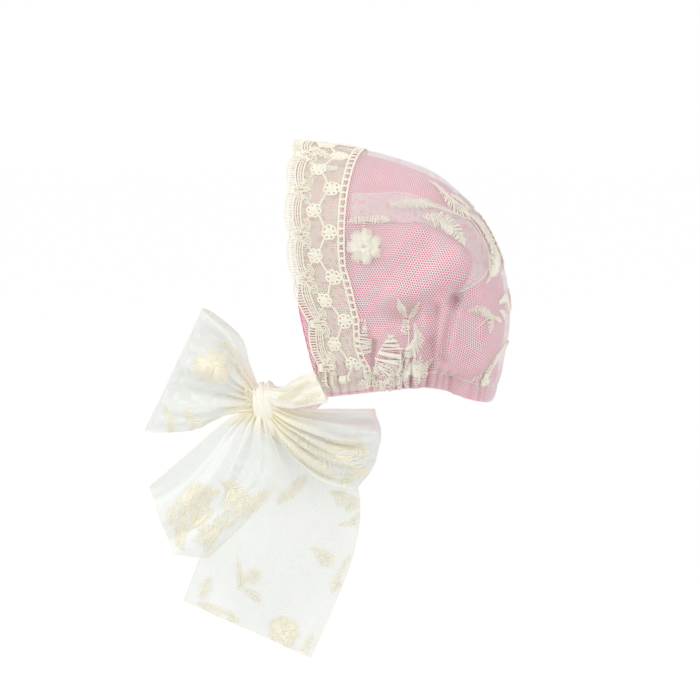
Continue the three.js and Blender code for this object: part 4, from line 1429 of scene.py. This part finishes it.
def ribbon_grid(rows, phase, folds, corner):
    """The ribbon's points: each section holds 85 mm of cloth, in folds as deep as that needs."""
    table = spline(rows, np.linspace(0, len(rows) - 1, (len(rows) - 1) * RIBBON_STEPS + 1))
    a, b = table[:, None, :3], table[:, None, 3:6]
    belly = np.pad(table[:, None, 6:], ((0, 0), (0, 0), (1, 0)))
    w = np.linspace(0, 1, RIBBON_COLUMNS)[None, :, None]
    bow = 4 * w * (1 - w) if corner is None else np.minimum(w / corner, (1 - w) / (1 - corner))
    plain = a * (1 - w) + b * w + belly * bow
    middle = plain.mean(axis=1)
    run = run_along(middle)
    along = np.gradient(middle, run, axis=0)
    across = (b - a)[:, 0]
    wide = np.linalg.norm(across, axis=1)
    normal = unit(np.cross(across, along))
    if folds == 0:
        return laid_layers(a, b, wide, normal * np.sign(normal[:, :1].mean())), run
    tight = (1 - smooth((wide - 12) / 45))[:, None]
    w, far = w[..., 0], run[:, None]
    warp = w + 0.035 * np.sin(9.3 * w + phase) + 0.02 * np.sin(23 * w + 2 * phase + far / 31)
    small = np.sin(2 * math.pi * folds * warp + phase + 0.8 * np.sin(far / 17 + 3 * w))
    broad = np.sin(2 * math.pi * 2.3 * (w + 0.12 * np.sin(far / 39 + phase)) + 2 * phase + far / 55)
    open_shape = 0.8 * broad + 0.35 * small * (0.4 + 0.6 * np.sin(far / 23 + 7 * w) ** 2)
    shape = tight * small + (1 - tight) * open_shape
    low, high = np.zeros(len(wide)), np.full(len(wide), DEEPEST_FOLD)
    for _ in range(26):
        deep = (low + high) / 2
        points = plain + (deep[:, None] * shape)[..., None] * normal[:, None]
        size = np.linalg.norm(np.diff(points, axis=1), axis=-1).sum(1)
        low, high = np.where(size < RIBBON_WIDE, deep, low), np.where(size < RIBBON_WIDE, high, deep)
    deep = np.clip(deep, 0.9, 6.0 if corner is None else 2.8)
    if abs(table[0, 0] - table[-1, 0]) < 8:
        # At the bend of a loop the folds lie flat
        deep = deep * (0.08 + 0.92 * np.abs(normal[:, 0]) ** 4)
    return plain + (evened(deep)[:, None] * shape)[..., None] * normal[:, None], run


def ribbon_sheet(name, rows, phase, finish, node, lie_on):
    folds, corner = 0 if "strap" in name else 6, 0.67 if "front_tail" in name else None
    grid, run = ribbon_grid(rows, phase, folds, corner)
    size = cloth_size(grid)
    size[..., 1] = run[:, None]
    piece = sheet_piece(name, grid, finish, size, 180)
    # The nearer its edges, the more layers of the cloth lie on each other; there the net turns cream and
    # solid, and its painted glow grows brighter
    bunched_glow = 0.9 * (1 - smooth((np.linalg.norm(grid[:, -1] - grid[:, 0], axis=1) - 10) / 34))
    mark(piece.data, "bunched_glow", np.repeat(bunched_glow, grid.shape[1]))
    place_piece(piece, "ribbon_net", node)
    wide, long = RIBBON_WIDE * MM, run[-1] * MM
    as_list(lie_on)
    share = sheet_area(grid) / wide / long
    print("%s %.0f x %.0f mm, %.2f of its flat area" % (name, wide * 1000, long * 1000, share))
    return grid


# %% Ribbon pieces
# Both nets glow: painted light for the light that passes through their nylon layers
ribbon_net = net_material("nylon_tulle_ivory", "#eceeea", "#e2e5e0", 1.1, 0.7, 0.135, "#f5efdc")
knot_net = net_material("nylon_tulle_folded", "#f7f5ec", "#efebdf", 1.1, 0.93, 0.11)
RIBBONS = {}
for name, rows, phase, held, node, lie_on in (
    ("near_strap", NEAR_STRAP, 0.4, "gathered", "tie_strap_left", ["knot_wrap", "side_left_satin"]),
    ("far_strap", FAR_STRAP, 1.3, "gathered", "tie_strap_right", ["knot_wrap", "side_right_satin"]),
    ("front_loop", FRONT_LOOP, 2.1, "gathered", "bow_loop_front", ["knot_wrap"]),
    ("back_loop", BACK_LOOP, 0.9, "gathered", "bow_loop_back", ["knot_wrap"]),
    ("front_tail", FRONT_TAIL, 3.0, "hung", "bow_tail_front", ["knot_wrap"]),
    ("back_tail", BACK_TAIL, 1.9, "hung", "bow_tail_back", ["knot_wrap"]),
):
    finish = knot_net if "strap" in name else ribbon_net
    RIBBONS[name] = ribbon_sheet("ribbon_" + name, rows, phase, finish, node, lie_on)

# %% [markdown]
# ## The knot
#
# The knot is the ribbon itself, wrapped round once over the gathered ends and tucked in behind. It
# is a band drawn tight: full and rounded between deep, slanting folds. Many layers of net lie on
# each other here, so its finish has few open holes.

# %% Knot
# Each lobe of the wrap: its centre, its half sizes and how far it leans, in millimetres and degrees
LOBES = [
    ((20, -73.5, -151.5), (8.4, 7.2, 12.6), 10), ((18.5, -67.0, -147.0), (7.0, 4.2, 9.8), 22),
    ((19.5, -69.3, -163.0), (6.5, 4.2, 8.4), 24),
]


def knot_points(q, angle, centre, size, lean):
    """A point of a lobe: q from -1 to 1 across the band, the angle round it."""
    drift = 1.3 * (q + 0.22 * np.sin(angle - 0.6)) + 0.12 * np.sin(2 * angle) + 0.35
    crease = np.abs(np.sin(math.pi * drift)) ** 0.55
    fine = np.abs(np.sin(math.pi * (4.2 * q + 0.5 * np.sin(angle + 1)))) ** 0.8
    swell = np.maximum(1 - np.abs(q) ** 2.4, 0) ** 0.5 * (1 + 0.2 * (crease - 0.75) + 0.07 * (fine - 0.5))
    bulge = 1 + 0.13 * np.cos(angle) * np.cos(math.pi * q / 2 - 0.3)
    x = size[0] * swell * np.sin(angle)
    y = size[1] * q * (1 + 0.06 * np.cos(angle * 2))
    z = size[2] * swell * bulge * np.cos(angle)
    c, s = math.cos(math.radians(lean)), math.sin(math.radians(lean))
    return np.array(centre) + np.stack([x, y * c - z * s, y * s + z * c], -1)


TURNS, BANDS = 96, 48
turn, band = two_ways((0, 2 * math.pi, TURNS, False), (-0.996, 0.996, BANDS))
closed = np.vstack([np.arange(TURNS * BANDS).reshape(TURNS, BANDS), np.arange(BANDS)[None]])
near_end, far_end = TURNS * BANDS, TURNS * BANDS + 1
lobe_faces = faces_between(closed).tolist()
for k in range(TURNS):
    lobe_faces.append([int(closed[k, 0]), int(closed[k + 1, 0]), near_end])
    lobe_faces.append([int(closed[k, -1]), far_end, int(closed[k + 1, -1])])
points, faces, cloth = [], [], []
for lobe in LOBES:
    wrap = knot_points(band, turn, *lobe)
    ends = knot_points(np.array([-1.0, 1.0]), np.zeros(2), *lobe)
    first = len(points) * (far_end + 1)
    points.append(np.concatenate([wrap.reshape(-1, 3), ends]))
    cloth.append(np.vstack([cloth_size(wrap).reshape(-1, 2), np.zeros((2, 2))]))
    faces += [[first + k for k in face] for face in lobe_faces]
knot = new_piece("knot_wrap", np.concatenate(points), faces, knot_net, np.concatenate(cloth), 70)
place_piece(knot, "ribbon_net", "bow_knot")
middle = Vector(LOBES[0][0]) * MM
if np.mean([face.normal @ (face.center - middle) for face in knot.data.polygons[: len(lobe_faces)]]) < 0:
    knot.data.flip_normals()
print("knot", len(knot.data.polygons), "faces")

# %% [markdown]
# ## Edges and embroidery of the ribbon
#
# A fine overlock thread closes each long edge and the cut ends. The flowers are the cap's flowers,
# at the places where the photograph shows them: rose sprays, leaves and buds, scattered and cut off
# by the ribbon's edges.

# %% Motifs of the ribbon
# Each leaf: its spine as shares along and across the ribbon, and its half widths in millimetres
SPRAYS = {
    "near_strap": [
        ([(0.1, 0.05), (0.4, 0.07), (0.75, 0.07)], [0.6, 3.0, 3.2, 0.8]),
        ([(0.05, 0.16), (0.3, 0.17), (0.5, 0.15)], [1.5, 3.4, 2.0, 0.6]),
    ],
    "front_loop": [
        ([(0.257, 0.15), (0.215, 0.075), (0.16, 0.03)], [0.6, 2.6, 2.2, 0.8]),
        ([(0.17, 0.05), (0.118, 0.03), (0.083, 0.04)], [0.8, 3.4, 3.0, 0.8]),
        ([(0.2, 0.1), (0.15, 0.12), (0.11, 0.14)], [0.4, 2.2, 0.8]),
        ([(0.354, 0.758), (0.312, 0.825), (0.292, 0.908), (0.285, 0.985)], [0.6, 2.6, 3.2, 2.4]),
        ([(0.264, 0.767), (0.243, 0.842), (0.222, 0.933), (0.21, 0.985)], [0.6, 4.4, 5.4, 4.4]),
        ([(0.2, 0.98), (0.167, 0.96), (0.125, 0.95)], [2.0, 3.4, 1.5]),
        ([(0.11, 0.9), (0.08, 0.92), (0.045, 0.95)], [0.8, 2.6, 1.2]),
        ([(0.07, 0.15), (0.04, 0.35), (0.03, 0.7)], [1.0, 2.4, 1.4]),
    ],
    "back_loop": [
        ([(0.12, 0.62), (0.17, 0.6), (0.22, 0.62), (0.28, 0.68), (0.34, 0.78)], [1.6, 6.0, 9.0, 9.0, 4.0]),
        ([(0.09, 0.76), (0.14, 0.8), (0.2, 0.86), (0.27, 0.93), (0.33, 0.97)], [1.2, 3.6, 4.6, 5.0, 3.0]),
        ([(0.19, 0.48), (0.22, 0.44), (0.26, 0.4), (0.29, 0.38)], [0.8, 3.4, 3.2, 1.0]),
        ([(0.2, 0.56), (0.25, 0.5), (0.31, 0.5), (0.36, 0.58)], [1.0, 5.0, 5.4, 2.0]),
        ([(0.3, 0.86), (0.35, 0.8), (0.39, 0.74)], [1.0, 4.0, 2.0]),
        ([(0.08, 0.9), (0.13, 0.93), (0.18, 0.96)], [0.8, 3.0, 1.5]),
    ],
    "front_tail": [
        ([(0.641, 0.483), (0.688, 0.642), (0.75, 0.792), (0.797, 0.875)], [0.8, 4.8, 5.4, 3.4, 0.8]),
        ([(0.688, 0.725), (0.734, 0.833), (0.781, 0.933)], [0.5, 2.8, 2.4, 0.6]),
        ([(0.78, 0.94), (0.734, 0.93), (0.656, 0.93)], [1.0, 5.0, 4.6, 1.0]),
        ([(0.781, 0.283), (0.828, 0.367), (0.859, 0.45)], [1.0, 2.8, 1.8, 0.6]),
        ([(0.922, 0.467), (0.953, 0.592), (0.969, 0.725)], [1.5, 3.4, 3.4, 1.0]),
    ],
    "back_tail": [
        ([(0.935, 0.93), (0.96, 0.95), (0.99, 0.97)], [0.8, 4.0, 5.0, 3.6]),
        ([(0.985, 0.1), (0.985, 0.2), (0.985, 0.33), (0.985, 0.42)], [1.0, 3.4, 3.6, 1.0]),
        ([(0.812, 0.258), (0.848, 0.308), (0.893, 0.342)], [0.8, 2.4, 2.0, 0.6]),
        ([(0.866, 0.342), (0.848, 0.383), (0.821, 0.425)], [1.0, 4.2, 4.2, 1.4]),
        ([(0.884, 0.392), (0.893, 0.45), (0.902, 0.508)], [0.8, 3.0, 2.6, 0.6]),
        ([(0.705, 0.717), (0.723, 0.8), (0.741, 0.875)], [1.0, 4.6, 5.0, 1.2]),
        ([(0.705, 0.985), (0.741, 0.975), (0.777, 0.965), (0.804, 0.95)], [1.2, 3.8, 3.4, 1.0]),
        ([(0.625, 0.858), (0.616, 0.933), (0.6, 0.985)], [0.5, 1.8, 3.0]),
        ([(0.509, 0.783), (0.536, 0.883), (0.554, 0.975)], [1.5, 5.4, 5.4, 2.0]),
        ([(0.58, 0.4), (0.545, 0.45), (0.509, 0.517), (0.473, 0.583)], [1.0, 4.4, 4.4, 1.5]),
        ([(0.884, 0.108), (0.929, 0.108), (0.964, 0.1)], [0.8, 3.4, 3.0, 0.8]),
    ],
}
# Each bloom: its place on the ribbon, its reach in millimetres and its petals
BLOOMS = {"front_loop": (0.222, 0.335, 12.0, 7), "back_tail": (0.962, 0.75, 10.5, 7)}
SPRIGS = 84
TWIGS = {
    "front_tail": [
        [(0.812, 0.9), (0.81, 0.96), (0.75, 0.97), (0.688, 0.975)],
        [(0.641, 0.49), (0.69, 0.65), (0.75, 0.8), (0.8, 0.88)],
    ],
    "back_tail": [[(0.79, 0.24), (0.83, 0.3), (0.87, 0.35), (0.9, 0.4)]],
}


def on_ribbon(name):
    """A function that places points on a ribbon by shares along and across."""
    grid = RIBBONS[name]
    rows, columns = np.linspace(0, 1, len(grid)), np.linspace(0, 1, grid.shape[1])
    normals = unit(np.cross(np.gradient(grid, axis=0), np.gradient(grid, axis=1)))
    if normals[len(grid) // 4, :, 0].mean() < 0:
        normals = -normals

    def place(a, b, height):
        a, b = np.broadcast_arrays(np.asarray(a, float), np.asarray(b, float))
        on_cloth = (np.abs(a - 0.5) < 0.502) & (np.abs(b - 0.5) < 0.502)
        a, b = np.clip(a, 0, 1), np.clip(b, 0, 1)
        out = table_at(normals, rows, columns, a, b)
        point = table_at(grid, rows, columns, a, b) + out * np.asarray(height, float)[..., None]
        return np.where(on_cloth[..., None], point, np.nan)

    return place


for name, sprays in SPRAYS.items():
    place = on_ribbon(name)
    strokes = []
    for spine, widths in sprays:
        strokes += leaf(place, spine, widths, slant=0.6, radius=0.36)
    if name in BLOOMS:
        strokes += flower(place, *BLOOMS[name])
    for spine in TWIGS.get(name, []):
        strokes += stem(place, spine, 0.45, 0.6)
    if name == "front_tail":
        # The densest spray: short sprigs at every turn between the broad leaf and the cut end
        for _ in range(SPRIGS):
            a, b, turn, size = RNG.uniform((0.72, 0.31, -1.6, 0.024), (0.955, 0.92, 1.6, 0.04))
            middle, step = np.array([a, b]), size * np.array([math.cos(turn), math.sin(turn)])
            spine = np.clip([middle - step, middle, middle + step], 0.01, 0.99)
            strokes += leaf(place, spine, [0.5, 2.2, 2.0, 0.5], radius=0.36)
    place_piece(thread_piece("embroidery_" + name, strokes, sheer_floss, 4), "ribbon_net")

# %% Ribbon edges
edges = []
for name, grid in RIBBONS.items():
    edges += [(grid[:, 0], 0.28, False), (grid[:, -1], 0.28, False)]
    if name.endswith("tail"):
        edges.append((grid[-1], 0.3, False))
place_piece(thread_piece("ribbon_edges", edges, sheer_floss, 5), "ribbon_net")

# %% The end
print("bonnet built")
